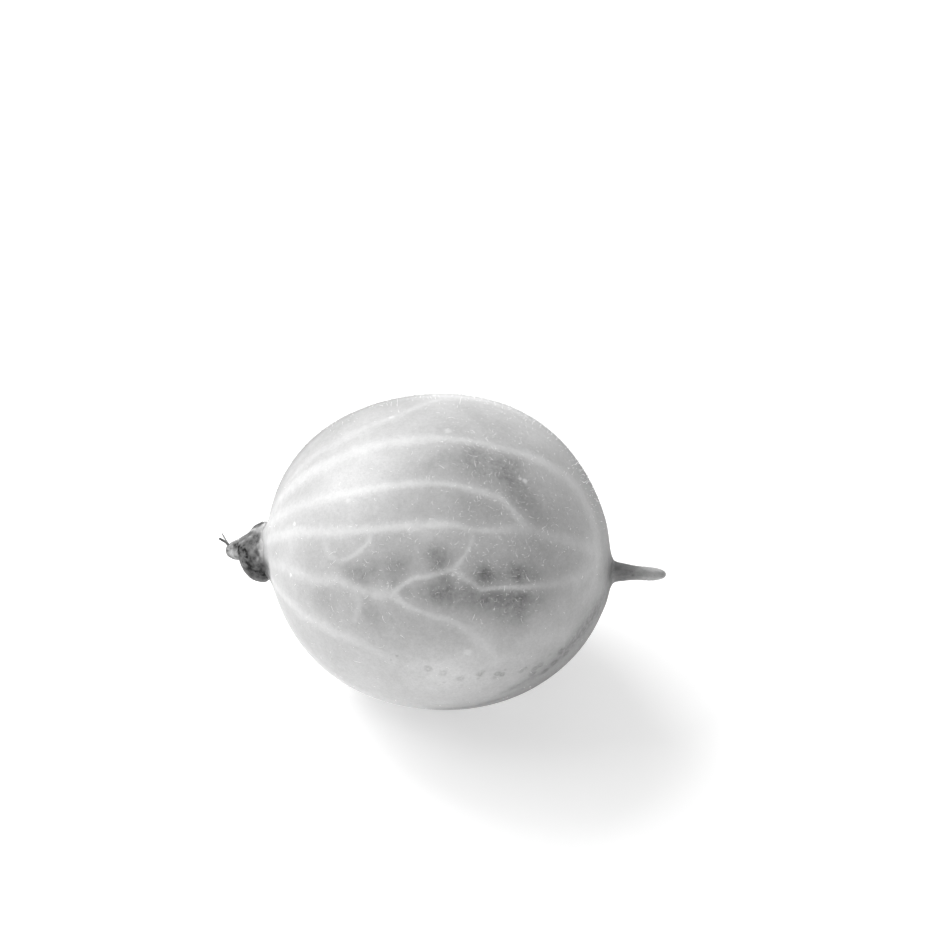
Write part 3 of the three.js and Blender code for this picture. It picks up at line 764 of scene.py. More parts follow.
# ---------------------------------------------------------------- the dry calyx
# Both profiles give (mm out from the skin, mm from the flower's axis): one up the side of the
# crown, one down the other side. In between, the cup goes smoothly from one to the other.
CUP_ABOVE = [(-0.75, 1.5), (-0.3, 1.72), (-0.1, 1.80), (0.1, 1.83), (0.35, 1.77), (0.6, 1.66), (0.9, 1.49), (1.15, 1.30), (1.4, 1.16),
             (1.6, 1.02), (1.72, 0.94), (1.80, 0.88), (1.85, 0.80), (1.875, 0.0)]
CUP_BELOW = [(-0.75, 1.5), (-0.3, 1.72), (-0.1, 1.765), (0.03, 1.80), (0.15, 1.85), (0.27, 1.878), (0.45, 1.875), (0.6, 1.852), (0.77, 1.81),
             (0.93, 1.752), (1.1, 1.645), (1.26, 1.503), (1.4, 1.37), (1.507, 1.24), (1.6, 1.10), (1.666, 0.969), (1.73, 0.82),
             (1.786, 0.681), (1.83, 0.56), (1.86, 0.44), (1.875, 0.0)]


# Dark patches on the dry calyx: mostly its own dark brown tissue, with painted shade at its far end where the withered
# petals sit in it
CUP_DARK_AND_JOINT_SHADE = [
    [(0.69, 54, 0.17, 0.56), (0.52, 55, 0.14, 0.5)], [(0.35, 55, 0.11, 0.5), (0.37, 62, 0.11, 0.5), (0.46, 70, 0.13, 0.55)],
    (1.38, 84, 0.15, 1.0), [(1.31, 83, 0.12, 1.0), (1.20, 89, 0.13, 0.97)], (1.16, 95, 0.11, 0.95), (1.16, 102, 0.13, 0.95),
    [(0.48, 88, 0.12, 0.68), (0.38, 97, 0.10, 0.42)], (0.95, 102, 0.13, 0.55), (0.65, 104, 0.13, 0.62), (0.86, 110, 0.15, 0.48),
    (1.62, 75, 0.13, 0.9), (1.66, 105, 0.10, 0.55), (1.35, 69, 0.12, 0.42), [(1.2, 119, 0.14, 0.95), (1.1, 121, 0.21, 1.0)],
    (1.0, 127, 0.24, 1.0), (1.07, 134, 0.2, 0.97), (0.85, 122, 0.16, 0.8), [(0.75, 138, 0.22, 0.55), (1.0, 148, 0.2, 0.5)],
    [(1.80, 66, 0.13, 1.0), (1.84, 84, 0.15, 1.0), (1.78, 98, 0.13, 0.9)], (1.62, 92, 0.12, 0.5), (0.9, 62, 0.2, 0.32), (0.7, 75, 0.2, 0.25), (1.4, 60, 0.15, 0.32), (0.45, 120, 0.15, 0.62), (0.19, 118, 0.14, 0.55), (0.03, 116, 0.09, 0.4),
    (0.61, 132, 0.24, 0.78), (0.29, 133, 0.26, 0.82), (0.12, 141, 0.2, 0.82), (0.97, 144, 0.15, 0.6), (0.52, 147, 0.18, 0.55),
    (1.22, 138, 0.14, 0.42), (1.47, 120, 0.10, 0.62), (1.62, 141, 0.08, 0.34), (0.05, 127, 0.08, 0.5), (1.13, 58, 0.10, 0.33),
    (0.86, 70, 0.10, 0.3), [(-0.05, 136, 0.06, 0.6), (-0.2, 140, 0.05, 0.45)], [(-0.02, 152, 0.07, 0.7), (-0.2, 158, 0.06, 0.5)],
    [(-0.05, 114, 0.05, 0.5), (-0.2, 112, 0.05, 0.25)], (1.4, 92, 0.1, 0.3), (1.3, 110, 0.12, 0.3), (0.25, 84, 0.1, 0.3), (0.2, 150, 0.14, 0.35),
    [(0.76, 16, 0.11, 0.45), (0.5, 18, 0.14, 0.6), (0.3, 20, 0.15, 0.65)], [(1.15, 12, 0.07, 0.3), (0.76, 14, 0.1, 0.4)],
]
CUP_PALE = [
    (1.02, 50, 0.12, 0.35), (1.49, 52, 0.14, 0.35), (1.30, 126, 0.14, 0.16), (1.45, 134, 0.11, 0.2), (0.45, 105, 0.11, 0.35),
    (0.55, 80, 0.17, 0.16), (0.88, 92, 0.17, 0.18), (0.23, 108, 0.13, 0.2), (0.02, 125, 0.08, 0.25), (0.16, 80, 0.14, 0.5),
    [(0.05, 40, 0.14, 0.9), (0.30, 39, 0.14, 0.85), (0.68, 36, 0.12, 0.8), (1.05, 27, 0.09, 0.75)], (0.08, 165, 0.12, 0.25),
    [(1.1, 8, 0.08, 0.5), (1.7, 14, 0.09, 0.8)],
]
FRINGE = ([0, 20, 32, 48, 61, 72, 82, 92, 102, 113, 123, 137, 157, 180, 205, 230, 255, 280, 305, 330, 345, 360],
          [0.1, 0.14, 0.25, 0.29, 0.29, 0.37, 0.36, 0.33, 0.21, 0.02, -0.10, -0.20, -0.22, -0.1, 0.05, 0.12, 0.0, 0.14, 0.2, 0.1, 0.05, 0.1])
SEPALS = [  # middle and half spread in degrees, height in mm, where it ends
    (-12, 50, 0.15, 1.25), (150, 34, 0.05, 1.3), (238, 38, 0.13, 1.3), (305, 26, 0.10, 1.2), (80, 30, 0.03, 1.2),
]
_rng = np.random.default_rng(19)
for _ in range(16):
    s0, t0 = _rng.uniform(0.2, 1.6), _rng.uniform(192, 350)
    CUP_DARK_AND_JOINT_SHADE.append([(s0, t0, _rng.uniform(0.08, 0.2), _rng.uniform(0.5, 0.95)),
                     (s0 + _rng.normal(0, 0.2), t0 + _rng.normal(0, 9), 0.12, _rng.uniform(0.4, 0.8))])
for _ in range(9):
    CUP_PALE.append((_rng.uniform(0.2, 1.6), _rng.uniform(192, 350), _rng.uniform(0.08, 0.14), 0.4))

rings, around = 190, 250
u = np.linspace(0, 1, rings)
along = -0.75 + 2.625 * u
along[-20:] = np.interp(np.linspace(0, 1, 20) ** 0.7, [0, 1], [along[-20], 1.875])
theta = np.arange(around) * 2 * math.pi / around
ring = np.cos(theta)[None, :, None] * UP + np.sin(theta)[None, :, None] * ACROSS
above, below = round_profile(CUP_ABOVE, along), round_profile(CUP_BELOW, along)
above[-1] = below[-1] = 0
radii = (above + below)[:, None] / 2 + (above - below)[:, None] / 2 * np.cos(theta)[None, :]
centre = FLOWER_BASE + along[:, None] * OUT
p = centre[:, None, :] + radii[..., None] * ring
tt, ss = np.broadcast_arrays(theta[None, :], along[:, None])
deg = np.degrees(tt)
shift = 0.05 * vnoise(p, 2.0, 72)
ragged = 0.045 * vnoise(p, 4.5, 73) + 0.03 * vnoise(p, 9.5, 74)
push = 0.0 * ss
for middle, half, height, end in SEPALS:
    apart = np.abs(angle_from(deg, middle)) + 40 * shift
    edge = (1 - smooth(half - 5, half + 4, apart)) * smooth(-0.12, 0.12, ss) * (1 - smooth(end - 0.5, end + 0.25, ss + shift))
    push = push + height * edge
on = smooth(-0.12, 0.3, ss) * smooth(0.0, 0.2, 1.875 - ss)
ridged = 1 - 2 * np.abs(fbm(p * np.array([0.6, 1.0, 1.0]), 1.3, 71, 3))
crumple = 1 - 2 * np.abs(fbm(p, 3.0, 75, 2))
dark = patches(ss + ragged, deg + 36 * np.roll(ragged, 31, axis=1), CUP_DARK_AND_JOINT_SHADE, 0.028)
light = patches(ss + ragged, deg + 36 * np.roll(ragged, 31, axis=1), CUP_PALE, 0.028)
push = push + on * (0.06 * (ridged - 0.6) + 0.035 * (crumple - 0.6) - 0.05 * dark + 0.02 * light) + 0.008 * on * vnoise(p, 9.0, 79)
# a small sweep up from the skin where the cup stands on it
push = push + 0.12 * np.exp(-np.clip(ss + 0.05, 0, None) / 0.12) * smooth(0.1, 0.8, np.sin(tt)) * smooth(-0.4, -0.3, ss)
p = p + push[..., None] * ring
fringe = np.interp(deg % 360, *FRINGE)
q, w = tube_grid(rings, around)
verts, tris, tuv, used = closed_ends(p, q, w)
if not facing_out(verts, tris):
    tris, tuv = tris[:, ::-1], tuv[:, ::-1]
calyx = make_object(
    "dry_calyx", verts, tris, tuv,
    {"beyond": (ss - fringe).ravel()[used], "painted_crease_shade": np.clip(1.0 - ridged, 0, 1).ravel()[used],
     "dark": dark.ravel()[used], "light": light.ravel()[used]},
)

# ---------------------------------------------------------------- the withered petals
KNOB_ABOVE = [(1.6, 0.66), (1.72, 0.86), (1.826, 0.895), (1.95, 0.86), (2.065, 0.80), (2.2, 0.735), (2.355, 0.66), (2.45, 0.59), (2.511, 0.52), (2.6, 0.44),
              (2.66, 0.37), (2.705, 0.27), (2.72, 0.14)]
KNOB_BELOW = [(1.6, -0.30), (1.72, -0.45), (1.85, -0.50), (1.997, -0.50), (2.15, -0.47), (2.279, -0.433), (2.4, -0.385), (2.529, -0.303),
              (2.6, -0.23), (2.65, -0.15), (2.70, 0.0), (2.72, 0.14)]
# Dark and pale patches on the withered petals: their own blotches, with painted shade where they sit in the calyx and a
# painted highlight among the pale ones
KNOB_DARK_AND_JOINT_SHADE = [
    (2.04, 62, 0.19, 0.93), [(1.82, 59, 0.15, 0.97), (1.78, 76, 0.14, 0.98)], (1.97, 78, 0.14, 0.85), (2.19, 38, 0.11, 0.6),
    (1.95, 39, 0.12, 0.7), (2.52, 61, 0.11, 0.45), (2.56, 93, 0.12, 0.5), (2.32, 43, 0.08, 0.4), (2.41, 139, 0.09, 0.35),
    (2.17, 159, 0.08, 0.35), (2.47, 40, 0.08, 0.55), (1.78, 100, 0.09, 0.6), (1.9, 210, 0.15, 0.8), (2.1, 240, 0.12, 0.6),
    (1.8, 290, 0.15, 0.9), (2.2, 310, 0.12, 0.7), (2.45, 250, 0.12, 0.6),
]
KNOB_PALE_AND_HIGHLIGHT = [(2.25, 110, 0.2, 0.75), (1.99, 116, 0.16, 0.5), (2.23, 67, 0.10, 0.5), (1.88, 22, 0.14, 1.0), (2.07, 89, 0.10, 0.3), (2.2, 200, 0.2, 0.5), (2.3, 290, 0.18, 0.5)]
rings, around = 100, 130
u = np.linspace(0, 1, rings)
along = 1.60 + 1.12 * u
along[-16:] = np.interp(np.linspace(0, 1, 16) ** 0.6, [0, 1], [along[-16], 2.72])
theta = np.arange(around) * 2 * math.pi / around
ring = np.cos(theta)[None, :, None] * UP + np.sin(theta)[None, :, None] * ACROSS
above, below = profile_radius(KNOB_ABOVE, along), profile_radius(KNOB_BELOW, along)
radii = (above - below) / 2
radii[-1] = 0
centre = FLOWER_BASE + along[:, None] * OUT + ((above + below) / 2)[:, None] * UP
p = centre[:, None, :] + radii[:, None, None] * ring
tt, ss = np.broadcast_arrays(theta[None, :], along[:, None])
deg = np.degrees(tt)
shift = 0.05 * vnoise(p, 2.6, 92)
fade = smooth(0.0, 0.10, 2.72 - ss)
twist = np.cos(4 * tt + 1.2 + 3.2 * ss)
ridged = 1 - 2 * np.abs(fbm(p, 2.4, 91, 3))
ragged = 0.03 * vnoise(p, 6.0, 93) + 0.02 * vnoise(p, 12.0, 94)
dark = patches(ss + ragged, deg + 90 * np.roll(ragged, 17, axis=1), KNOB_DARK_AND_JOINT_SHADE, 0.0105)
light = patches(ss + ragged, deg + 90 * np.roll(ragged, 17, axis=1), KNOB_PALE_AND_HIGHLIGHT, 0.0105)
push = fade * (0.022 * twist + 0.035 * (ridged - 0.5) - 0.04 * dark + 0.02 * light + 0.008 * vnoise(p, 10.0, 95))
p = p + push[..., None] * ring
q, w = tube_grid(rings, around)
verts, tris, tuv, used = closed_ends(p, q, w)
if not facing_out(verts, tris):
    tris, tuv = tris[:, ::-1], tuv[:, ::-1]
petals = make_object("withered_petals_knob", verts, tris, tuv,
                     {"painted_crease_shade": np.clip(1.0 - ridged, 0, 1).ravel()[used], "dark": dark.ravel()[used], "light": light.ravel()[used]})


# ---------------------------------------------------------------- the forked style
def thread(path, r0, r1, seed):
    line, t = spline([flower(*[np.array(c) for c in q]) for q in path], step=0.035)
    n, sides = len(line), 10
    axis = unit(np.gradient(line, axis=0))
    ref = np.cross(axis, ACROSS)
    side = unit(ref)
    other = np.cross(axis, side)
    r = r0 + (r1 - r0) * t
    r = r * (1 + 0.16 * vnoise(line, 6.0, seed)) * np.sqrt(np.clip((1 - t) * 18, 0, 1))
    a = np.arange(sides) * 2 * math.pi / sides
    p = line[:, None] + r[:, None, None] * (np.cos(a)[None, :, None] * side[:, None] + np.sin(a)[None, :, None] * other[:, None])
    q, w = tube_grid(n, sides)
    verts, tris, tuv, used = closed_ends(p, q, w)
    if not facing_out(verts, tris):
        tris, tuv = tris[:, ::-1], tuv[:, ::-1]
    return verts, tris, tuv, np.repeat(t, sides)[used]


thick = thread([(2.16, 0.25, 0.08), (2.40, 0.40, 0.12), (2.53, 0.48, 0.13), (2.66, 0.60, 0.13), (2.82, 0.72, 0.13), (3.0, 0.83, 0.15),
                (3.14, 0.90, 0.16)], 0.095, 0.066, 301)
thin = thread([(2.16, 0.25, 0.08), (2.42, 0.42, 0.10), (2.56, 0.56, 0.07), (2.68, 0.74, 0.02), (2.82, 0.97, -0.02), (2.97, 1.24, -0.05)],
              0.064, 0.040, 302)
style = make_object(
    "dry_style_threads", np.vstack([thick[0], thin[0]]), np.vstack([thick[1], thin[1] + len(thick[0])]),
    np.vstack([thick[2] * np.array([0.48, 1.0]), thin[2] * np.array([0.48, 1.0]) + np.array([0.5, 0.0])]),
    {"thick": np.r_[np.ones(len(thick[0])), np.zeros(len(thin[0]))]},
)


# ---------------------------------------------------------------- materials
class Nodes:
    def __init__(self, name):
        self.material = bpy.data.materials.new(name)
        self.material.use_nodes = True
        self.tree = self.material.node_tree
        self.tree.nodes.clear()
        self.out = self.add("ShaderNodeOutputMaterial")
        self.shader = self.add("ShaderNodeBsdfPrincipled")
        self.link(self.shader.outputs["BSDF"], self.out.inputs["Surface"])
        coord = self.add("ShaderNodeTexCoord")
        mapping = self.add("ShaderNodeMapping")
        mapping.inputs["Scale"].default_value = (1000, 1000, 1000)
        self.link(coord.outputs["Object"], mapping.inputs["Vector"])
        self.mm = mapping.outputs["Vector"]

    def add(self, kind):
        return self.tree.nodes.new(kind)

    def link(self, a, b):
        self.tree.links.new(a, b)

    def feed(self, socket, value):
        if isinstance(value, (int, float)):
            socket.default_value = value
        else:
            self.link(value, socket)

    def math(self, op, a, b=None, clamp=False):
        n = self.add("ShaderNodeMath")
        n.operation = op
        n.use_clamp = clamp
        self.feed(n.inputs[0], a)
        if b is not None:
            self.feed(n.inputs[1], b)
        return n.outputs[0]

    def noise(self, scale, detail=3.0, rough=0.5, stretch=None, distortion=0.0):
        n = self.add("ShaderNodeTexNoise")
        n.inputs["Scale"].default_value = scale
        n.inputs["Detail"].default_value = detail
        n.inputs["Roughness"].default_value = rough
        n.inputs["Distortion"].default_value = distortion
        if stretch:
            m = self.add("ShaderNodeMapping")
            m.inputs["Scale"].default_value = stretch
            self.link(self.mm, m.inputs["Vector"])
            self.link(m.outputs["Vector"], n.inputs["Vector"])
        else:
            self.link(self.mm, n.inputs["Vector"])
        return n.outputs["Fac"]

    def wobble(self, amount, scale):
        """The position in mm, shaken a little."""
        n = self.add("ShaderNodeTexNoise")
        n.inputs["Scale"].default_value = scale
        n.inputs["Detail"].default_value = 2.0
        self.link(self.mm, n.inputs["Vector"])
        shift = self.add("ShaderNodeVectorMath")
        shift.operation = "MULTIPLY_ADD"
        self.link(n.outputs["Color"], shift.inputs[0])
        shift.inputs[1].default_value = (2 * amount,) * 3
        shift.inputs[2].default_value = (-amount,) * 3
        total = self.add("ShaderNodeVectorMath")
        total.operation = "ADD"
        self.link(self.mm, total.inputs[0])
        self.link(shift.outputs[0], total.inputs[1])
        return total.outputs[0]

    def distance(self, position, point):
        n = self.add("ShaderNodeVectorMath")
        n.operation = "DISTANCE"
        self.link(position, n.inputs[0])
        n.inputs[1].default_value = [float(v) for v in point]
        return n.outputs["Value"]

    def attribute(self, name):
        n = self.add("ShaderNodeAttribute")
        n.attribute_name = name
        return n.outputs["Fac"]

    def ramp(self, value, stops):
        n = self.add("ShaderNodeMapRange")
        n.interpolation_type = "SMOOTHSTEP"
        lo, hi, a, b = stops
        self.feed(n.inputs["Value"], value)
        n.inputs["From Min"].default_value = lo
        n.inputs["From Max"].default_value = hi
        n.inputs["To Min"].default_value = a
        n.inputs["To Max"].default_value = b
        return n.outputs["Result"]

    def mix(self, factor, a, b):
        """Value a where factor is 0, b where it is 1."""
        return self.math("ADD", self.math("MULTIPLY", self.math("SUBTRACT", 1.0, factor), a),
                         self.math("MULTIPLY", factor, b))

    def grey(self, value, socket="Base Color"):
        n = self.add("ShaderNodeCombineColor")
        for k in range(3):
            self.feed(n.inputs[k], value)
        self.link(n.outputs[0], self.shader.inputs[socket])

    def bump(self, height, strength, distance):
        n = self.add("ShaderNodeBump")
        n.inputs["Strength"].default_value = strength
        n.inputs["Distance"].default_value = distance
        self.link(height, n.inputs["Height"])
        self.link(n.outputs["Normal"], self.shader.inputs["Normal"])

    def set(self, **values):
        for key, value in values.items():
            self.shader.inputs[key.replace("_", " ")].default_value = value


def skin_material():
    m = Nodes("gooseberry_skin")
    broad = m.noise(0.32, 2.0, 0.5)
    cloud = m.noise(1.1, 4.0, 0.6, distortion=0.4)
    grain = m.noise(4.5, 3.0, 0.65)
    fine = m.noise(10.0, 2.0, 0.7)
    base = m.math("ADD", 0.51, m.math("MULTIPLY", m.math("SUBTRACT", broad, 0.5), 0.12))
    base = m.math("ADD", base, m.math("MULTIPLY", m.math("SUBTRACT", cloud, 0.5), 0.12))
    base = m.math("ADD", base, m.math("MULTIPLY", m.math("SUBTRACT", grain, 0.5), 0.15))
    base = m.math("ADD", base, m.math("MULTIPLY", m.math("SUBTRACT", fine, 0.5), 0.13))
    # the seeds show through as dark, grainy clouds
    speckle = m.ramp(m.noise(2.8, 5.0, 0.8), (0.28, 0.72, 0.56, 1.4))
    seed_ = m.math("MULTIPLY", m.attribute("seed"), speckle)
    base = m.math("MULTIPLY", base, m.math("SUBTRACT", 1.0, m.math("MULTIPLY", seed_, 0.60)))
    # the veins: a pale line with feathered sides inside a soft glow
    feather = m.math("ADD", m.math("MULTIPLY", m.math("SUBTRACT", m.noise(3.0, 3.0, 0.65), 0.5), 1.4),
                     m.math("MULTIPLY", m.math("SUBTRACT", m.noise(7.0, 3.0, 0.75), 0.5), 1.9))
    across_ = m.math("ADD", m.attribute("vein_near"), feather)
    line = m.math("MULTIPLY", m.attribute("vein_strong"), m.ramp(across_, (0.05, 1.55, 1.0, 0.0)))
    line = m.math("MULTIPLY", line, m.ramp(m.noise(1.8, 3.0, 0.6), (0.25, 0.75, 0.74, 1.22)))
    glow = m.attribute("vein_glow")
    base = m.mix(m.math("MULTIPLY", glow, 0.20), base, 0.80)
    base = m.mix(m.math("MULTIPLY", line, 0.40, clamp=True), base, 0.88)
    base = m.mix(m.math("MULTIPLY", m.attribute("flower_near"), 0.3), base, 0.62)
    # broad tone with painted light and shade: painted shade along the outline and over the turned-away sides, painted
    # pale patches, and painted light at the calyx seam
    base = m.math("MULTIPLY", base, m.attribute("tone"))
    # painted shade round the stalk's root
    base = m.math("MULTIPLY", base, m.math("SUBTRACT", 1.0, m.attribute("painted_stalk_shade")))
    # dry brown streaks where the skin meets the calyx
    streaks = m.math("ADD", m.attribute("from_cup"), m.math("MULTIPLY", m.math("SUBTRACT", m.noise(3.6, 4.0, 0.7), 0.5), 5.0))
    stain = m.math("MULTIPLY", m.attribute("cup_stain"), m.ramp(streaks, (-0.4, 5.2, 1.0, 0.0)))
    base = m.math("MULTIPLY", base, m.math("SUBTRACT", 1.0, stain))
    # corky marks
    worn = m.ramp(m.noise(3.2, 4.0, 0.7), (0.35, 0.62, 0.45, 1.25))
    base = m.math("MULTIPLY", base, m.math("SUBTRACT", 1.0, m.math("MULTIPLY", m.math("MULTIPLY", m.attribute("scar"), worn), 0.55)))
    wobble = m.wobble(0.11, 5.0)
    dark = 0.0
    for a, phi, radius, strength, hollow in SPOTS:
        c = direction(a, phi)
        far = m.distance(wobble, c * skin_radius(c) + CENTRE)
        ring = m.ramp(far, (0.45 * radius, 1.5 * radius, strength, 0.0))
        if hollow:
            ring = m.math("MULTIPLY", ring, m.ramp(far, (0.0, 0.75 * radius, 1.0 - hollow, 1.0)))
        dark = m.math("MAXIMUM", dark, ring)
    mottled = m.ramp(m.noise(7.0, 3.0, 0.7), (0.32, 0.68, 0.5, 1.3))
    base = m.math("MULTIPLY", base, m.math("SUBTRACT", 1.0, m.math("MULTIPLY", dark, mottled)))
    pale = 0.0
    for a, phi, radius, strength in FLECKS:
        c = direction(a, phi)
        far = m.distance(wobble, c * skin_radius(c) + CENTRE)
        pale = m.math("MAXIMUM", pale, m.ramp(far, (0.3 * radius, 1.4 * radius, strength, 0.0)))
    base = m.mix(pale, base, 0.9)
    m.grey(base)
    m.set(Roughness=0.5, IOR=1.42, Specular_IOR_Level=0.22, Subsurface_Weight=0.85, Subsurface_Radius=(1.0, 1.0, 1.0),
          Subsurface_Scale=0.0022)
    rough = m.ramp(m.noise(3.0, 3.0, 0.6), (0.3, 0.7, 0.46, 0.58))
    m.feed(m.shader.inputs["Roughness"], rough)
    height = m.math("ADD", m.math("MULTIPLY", m.noise(9.0, 3.0, 0.65), 0.6), m.math("MULTIPLY", m.noise(2.2, 3.0, 0.5), 0.5))
    m.bump(m.math("ADD", height, m.math("MULTIPLY", line, 0.5)), 0.35, 0.00004)
    return m.material


def hair_material(name, tone, painted_glow=0.42):
    m = Nodes(name)
    value = m.math("ADD", tone, m.math("MULTIPLY", m.math("SUBTRACT", m.noise(1.3, 2.0), 0.5), 0.08))
    m.grey(value)
    # painted light: the hairs glow a little, standing in for the light they scatter inside
    m.set(Roughness=0.4, IOR=1.45, Subsurface_Weight=1.0, Subsurface_Radius=(1.0, 1.0, 1.0), Subsurface_Scale=0.0004,
          Emission_Color=(1.0, 1.0, 1.0, 1.0), Emission_Strength=painted_glow)
    m.bump(m.noise(20.0, 2.0), 0.2, 0.000004)
    return m.material


def stalk_material():
    m = Nodes("green_stalk")
    along_ = m.attribute("along")
    cloud = m.noise(1.9, 4.0, 0.6, stretch=(0.6, 1.0, 1.0))
    reach = m.math("ADD", along_, m.math("MULTIPLY", m.math("SUBTRACT", cloud, 0.5), 1.3))
    tone = m.mix(m.ramp(reach, (0.3, 1.9, 0.0, 1.0)), 0.26, 0.31)
    tone = m.mix(m.ramp(reach, (1.25, 2.45, 0.0, 1.0)), tone, 0.46)
    tone = m.mix(m.ramp(along_, (-0.2, 0.3, 1.0, 0.0)), tone, 0.32)
    # painted shade: the outer rim of the foot is as dark as the shaded skin beside it
    tone = m.mix(m.attribute("rim"), tone, 0.24)
    base = m.math("MULTIPLY", tone, m.ramp(along_, (3.0, 3.3, 1.0, 0.80)))
    streak = m.noise(3.2, 4.0, 0.6, stretch=(0.7, 1.0, 1.0))
    base = m.math("MULTIPLY", base, m.ramp(streak, (0.25, 0.75, 0.84, 1.16)))
    base = m.math("MULTIPLY", base, m.math("SUBTRACT", 1.0, m.math("MULTIPLY", m.attribute("dark"), 0.5)))
    speck = m.ramp(m.noise(8.0, 2.0, 0.6), (0.60, 0.72, 1.0, 0.82))
    base = m.math("MULTIPLY", base, speck)
    m.grey(base)
    m.set(Roughness=0.6, IOR=1.42, Specular_IOR_Level=0.14, Subsurface_Radius=(1.0, 1.0, 1.0),
          Subsurface_Scale=0.0006)
    m.feed(m.shader.inputs["Subsurface Weight"], m.math("ADD", 0.4, m.math("MULTIPLY", m.attribute("rim"), 0.45)))
    m.bump(m.math("ADD", m.noise(14.0, 3.0, 0.6, stretch=(0.4, 1.0, 1.0)), m.noise(5.0, 2.0, 0.5)), 0.3, 0.00002)
    return m.material


def calyx_material():
    m = Nodes("dry_calyx_skin")
    cloud = m.noise(2.2, 4.0, 0.6, distortion=0.5)
    fine = m.noise(7.0, 3.0, 0.65)
    tone = m.math("ADD", 0.187, m.math("MULTIPLY", m.math("SUBTRACT", cloud, 0.5), 0.28))
    tone = m.math("ADD", tone, m.math("MULTIPLY", m.math("SUBTRACT", fine, 0.5), 0.22))
    tone = m.math("MAXIMUM", tone, 0.05)
    # painted shade: darker in the hollows of the crumpled surface
    tone = m.math("MULTIPLY", tone, m.math("SUBTRACT", 1.0, m.math("MULTIPLY", m.attribute("painted_crease_shade"), 0.35)))
    uneven = m.ramp(m.noise(5.0, 4.0, 0.7), (0.3, 0.7, 0.68, 1.4))
    darker = m.math("MULTIPLY", m.attribute("dark"), uneven, clamp=True)
    tone = m.math("MAXIMUM", m.math("MULTIPLY", tone, m.math("SUBTRACT", 1.0, m.math("MULTIPLY", darker, 0.97))), 0.016)
    tone = m.mix(m.math("MULTIPLY", m.attribute("light"), 0.9), tone, 0.62)
    edge = m.math("ADD", m.attribute("beyond"), m.math("MULTIPLY", m.math("SUBTRACT", cloud, 0.5), 0.45))
    edge = m.math("ADD", edge, m.math("MULTIPLY", m.math("SUBTRACT", fine, 0.5), 0.20))
    neck = m.ramp(edge, (-0.18, 0.18, 1.0, 0.0))
    neck = m.math("MULTIPLY", neck, m.math("SUBTRACT", 1.0, m.math("MULTIPLY", m.attribute("dark"), 0.75)))
    # the pale neck, paler still towards the skin: partly its own pale colour and partly painted light lifting the shade
    # of the crease where the cup meets the skin
    skin = m.math("ADD", m.ramp(m.attribute("beyond"), (-0.38, -0.12, 0.90, 0.54)), m.math("MULTIPLY", m.math("SUBTRACT", fine, 0.5), 0.14))
    base = m.mix(neck, tone, skin)
    m.grey(base)
    m.set(Roughness=0.7, IOR=1.42, Specular_IOR_Level=0.07, Subsurface_Radius=(1.0, 1.0, 1.0), Subsurface_Scale=0.0014)
    m.feed(m.shader.inputs["Subsurface Weight"], m.math("ADD", 0.02, m.math("MULTIPLY", neck, 0.83)))
    m.bump(m.math("ADD", m.noise(10.0, 4.0, 0.7), m.noise(3.5, 3.0, 0.6)), 0.35, 0.00004)
    return m.material


def petals_material():
    m = Nodes("withered_petal_skin")
    cloud = m.noise(3.0, 4.0, 0.6, distortion=0.5)
    base = m.ramp(cloud, (0.25, 0.75, 0.24, 0.46))
    base = m.math("MULTIPLY", base, m.ramp(m.noise(7.0, 3.0, 0.7), (0.3, 0.7, 0.8, 1.2)))
    # painted shade: darker in the hollows of the crumpled surface
    base = m.math("MULTIPLY", base, m.math("SUBTRACT", 1.0, m.math("MULTIPLY", m.attribute("painted_crease_shade"), 0.35)))
    base = m.math("MULTIPLY", base, m.math("SUBTRACT", 1.0, m.math("MULTIPLY", m.attribute("dark"), 0.98)))
    base = m.mix(m.math("MULTIPLY", m.attribute("light"), 0.8), base, 0.72)
    m.grey(base)
    m.set(Roughness=0.7, IOR=1.4, Specular_IOR_Level=0.1, Subsurface_Weight=0.1, Subsurface_Radius=(1.0, 1.0, 1.0),
          Subsurface_Scale=0.0005)
    m.bump(m.math("ADD", m.noise(12.0, 4.0, 0.7), m.noise(4.5, 3.0, 0.6)), 0.35, 0.00003)
    return m.material


def style_material():
    m = Nodes("dry_thread_skin")
    thick_ = m.attribute("thick")
    tone = m.mix(thick_, 0.40, 0.12)
    m.grey(m.math("MULTIPLY", tone, m.ramp(m.noise(6.0, 3.0, 0.6), (0.3, 0.7, 0.7, 1.3))))
    m.set(Roughness=0.7, IOR=1.4)
    m.bump(m.noise(18.0, 3.0, 0.6), 0.4, 0.00001)
    return m.material


hair = hair_material("white_hair", 0.95)
down = hair_material("pale_down", 0.38, 0.0)
for piece, material, body_slot, nodes in (
    (berry, skin_material(), "berry_skin", ("berry",)),
    (short_hairs, hair, "berry_skin", ()),
    (curled_hairs, hair, "berry_skin", ()),
    (long_hairs, hair, "berry_skin", ()),
    (down_hairs, down, "berry_skin", ()),
    (front_down, hair, "berry_skin", ()),
    (stalk, stalk_material(), "stalk", ("stalk",)),
    (calyx, calyx_material(), "dry_calyx", ("dried_calyx",)),
    (petals, petals_material(), "dry_petals", ("withered_petals",)),
    (style, style_material(), "dry_style", ("forked_style",)),
):
    piece.data.materials.append(material)
    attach(piece, "root")
    if nodes:
        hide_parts(*nodes)

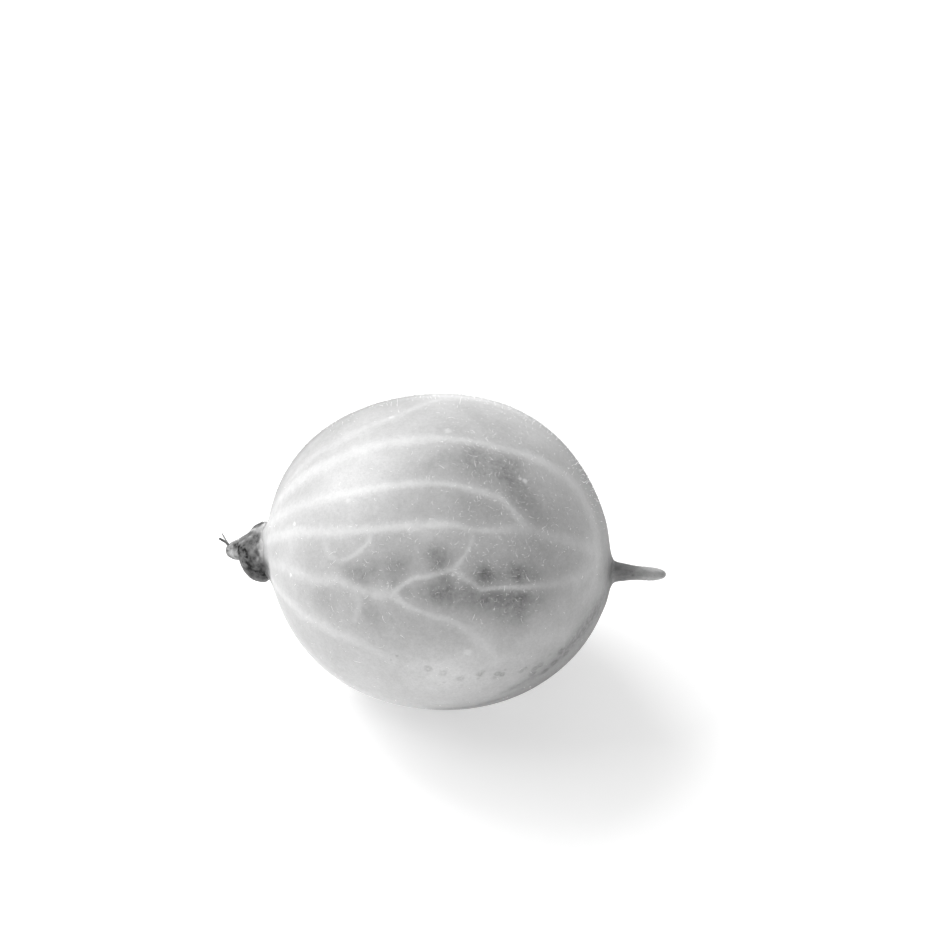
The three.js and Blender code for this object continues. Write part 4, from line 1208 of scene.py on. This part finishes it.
# ---------------------------------------------------------------- floor, light and camera
bpy.ops.mesh.primitive_plane_add(size=4.0, location=(0, 0, 0))
floor = bpy.context.active_object
floor.name = "studio_floor"
floor_material = bpy.data.materials.new("pale_floor")
floor_material.use_nodes = True
shader = floor_material.node_tree.nodes["Principled BSDF"]
shader.inputs["Base Color"].default_value = (0.86, 0.86, 0.86, 1)
shader.inputs["Roughness"].default_value = 0.9
shader.inputs["Specular IOR Level"].default_value = 0.1
shader.inputs["Emission Color"].default_value = (1, 1, 1, 1)
shader.inputs["Emission Strength"].default_value = 0.36
floor.data.materials.append(floor_material)

world = bpy.data.worlds.new("studio")
bpy.context.scene.world = world
world.use_nodes = True
world.node_tree.nodes["Background"].inputs["Color"].default_value = (1, 1, 1, 1)
world.node_tree.nodes["Background"].inputs["Strength"].default_value = 0.45


def softbox(name, azimuth, elevation, watts, size=0.16, far=0.26):
    """A square soft light. azimuth: 0 = the front, 90 = the right, -90 = the left, 180 = behind."""
    data = bpy.data.lights.new(name, "AREA")
    data.shape = "SQUARE"
    data.size = size
    data.energy = watts
    obj = bpy.data.objects.new(name, data)
    bpy.context.scene.collection.objects.link(obj)
    az, el = math.radians(azimuth), math.radians(elevation)
    middle = Vector((CENTRE / 1000.0).tolist())
    where = middle + far * Vector((math.sin(az) * math.cos(el), -math.cos(az) * math.cos(el), math.sin(el)))
    obj.location = where
    obj.rotation_mode = "QUATERNION"
    obj.rotation_quaternion = (middle - where).to_track_quat("-Z", "Y")
    return obj


softbox("key_left_back", -135, 45, 0.54)
softbox("left_high", -90, 45, 0.18)
softbox("left_front_low", -45, 12, 0.11)
softbox("right_back_low", 135, 12, 0.07)
softbox("back_low", 180, 12, 0.04)

DISTANCE, ELEVATION, AZIMUTH = 166.1, math.radians(42.0), math.radians(4.5)
YAW, PITCH = math.radians(3.642), math.radians(-40.179)
away = np.array([math.sin(AZIMUTH) * math.cos(ELEVATION), -math.cos(AZIMUTH) * math.cos(ELEVATION), math.sin(ELEVATION)])
camera_data = bpy.data.cameras.new("camera")
camera_data.lens = 100.0
camera_data.sensor_width = 36.0
camera_data.sensor_fit = "HORIZONTAL"
camera_data.clip_start, camera_data.clip_end = 0.01, 20.0
camera = bpy.data.objects.new("camera", camera_data)
bpy.context.scene.collection.objects.link(camera)
camera.location = ((CENTRE + away * DISTANCE) / 1000.0).tolist()
camera.rotation_euler = (math.pi / 2 + PITCH, 0.0, YAW)
bpy.context.scene.camera = camera
bpy.context.scene.view_settings.view_transform = "Standard"
bpy.context.scene.view_settings.look = "None"
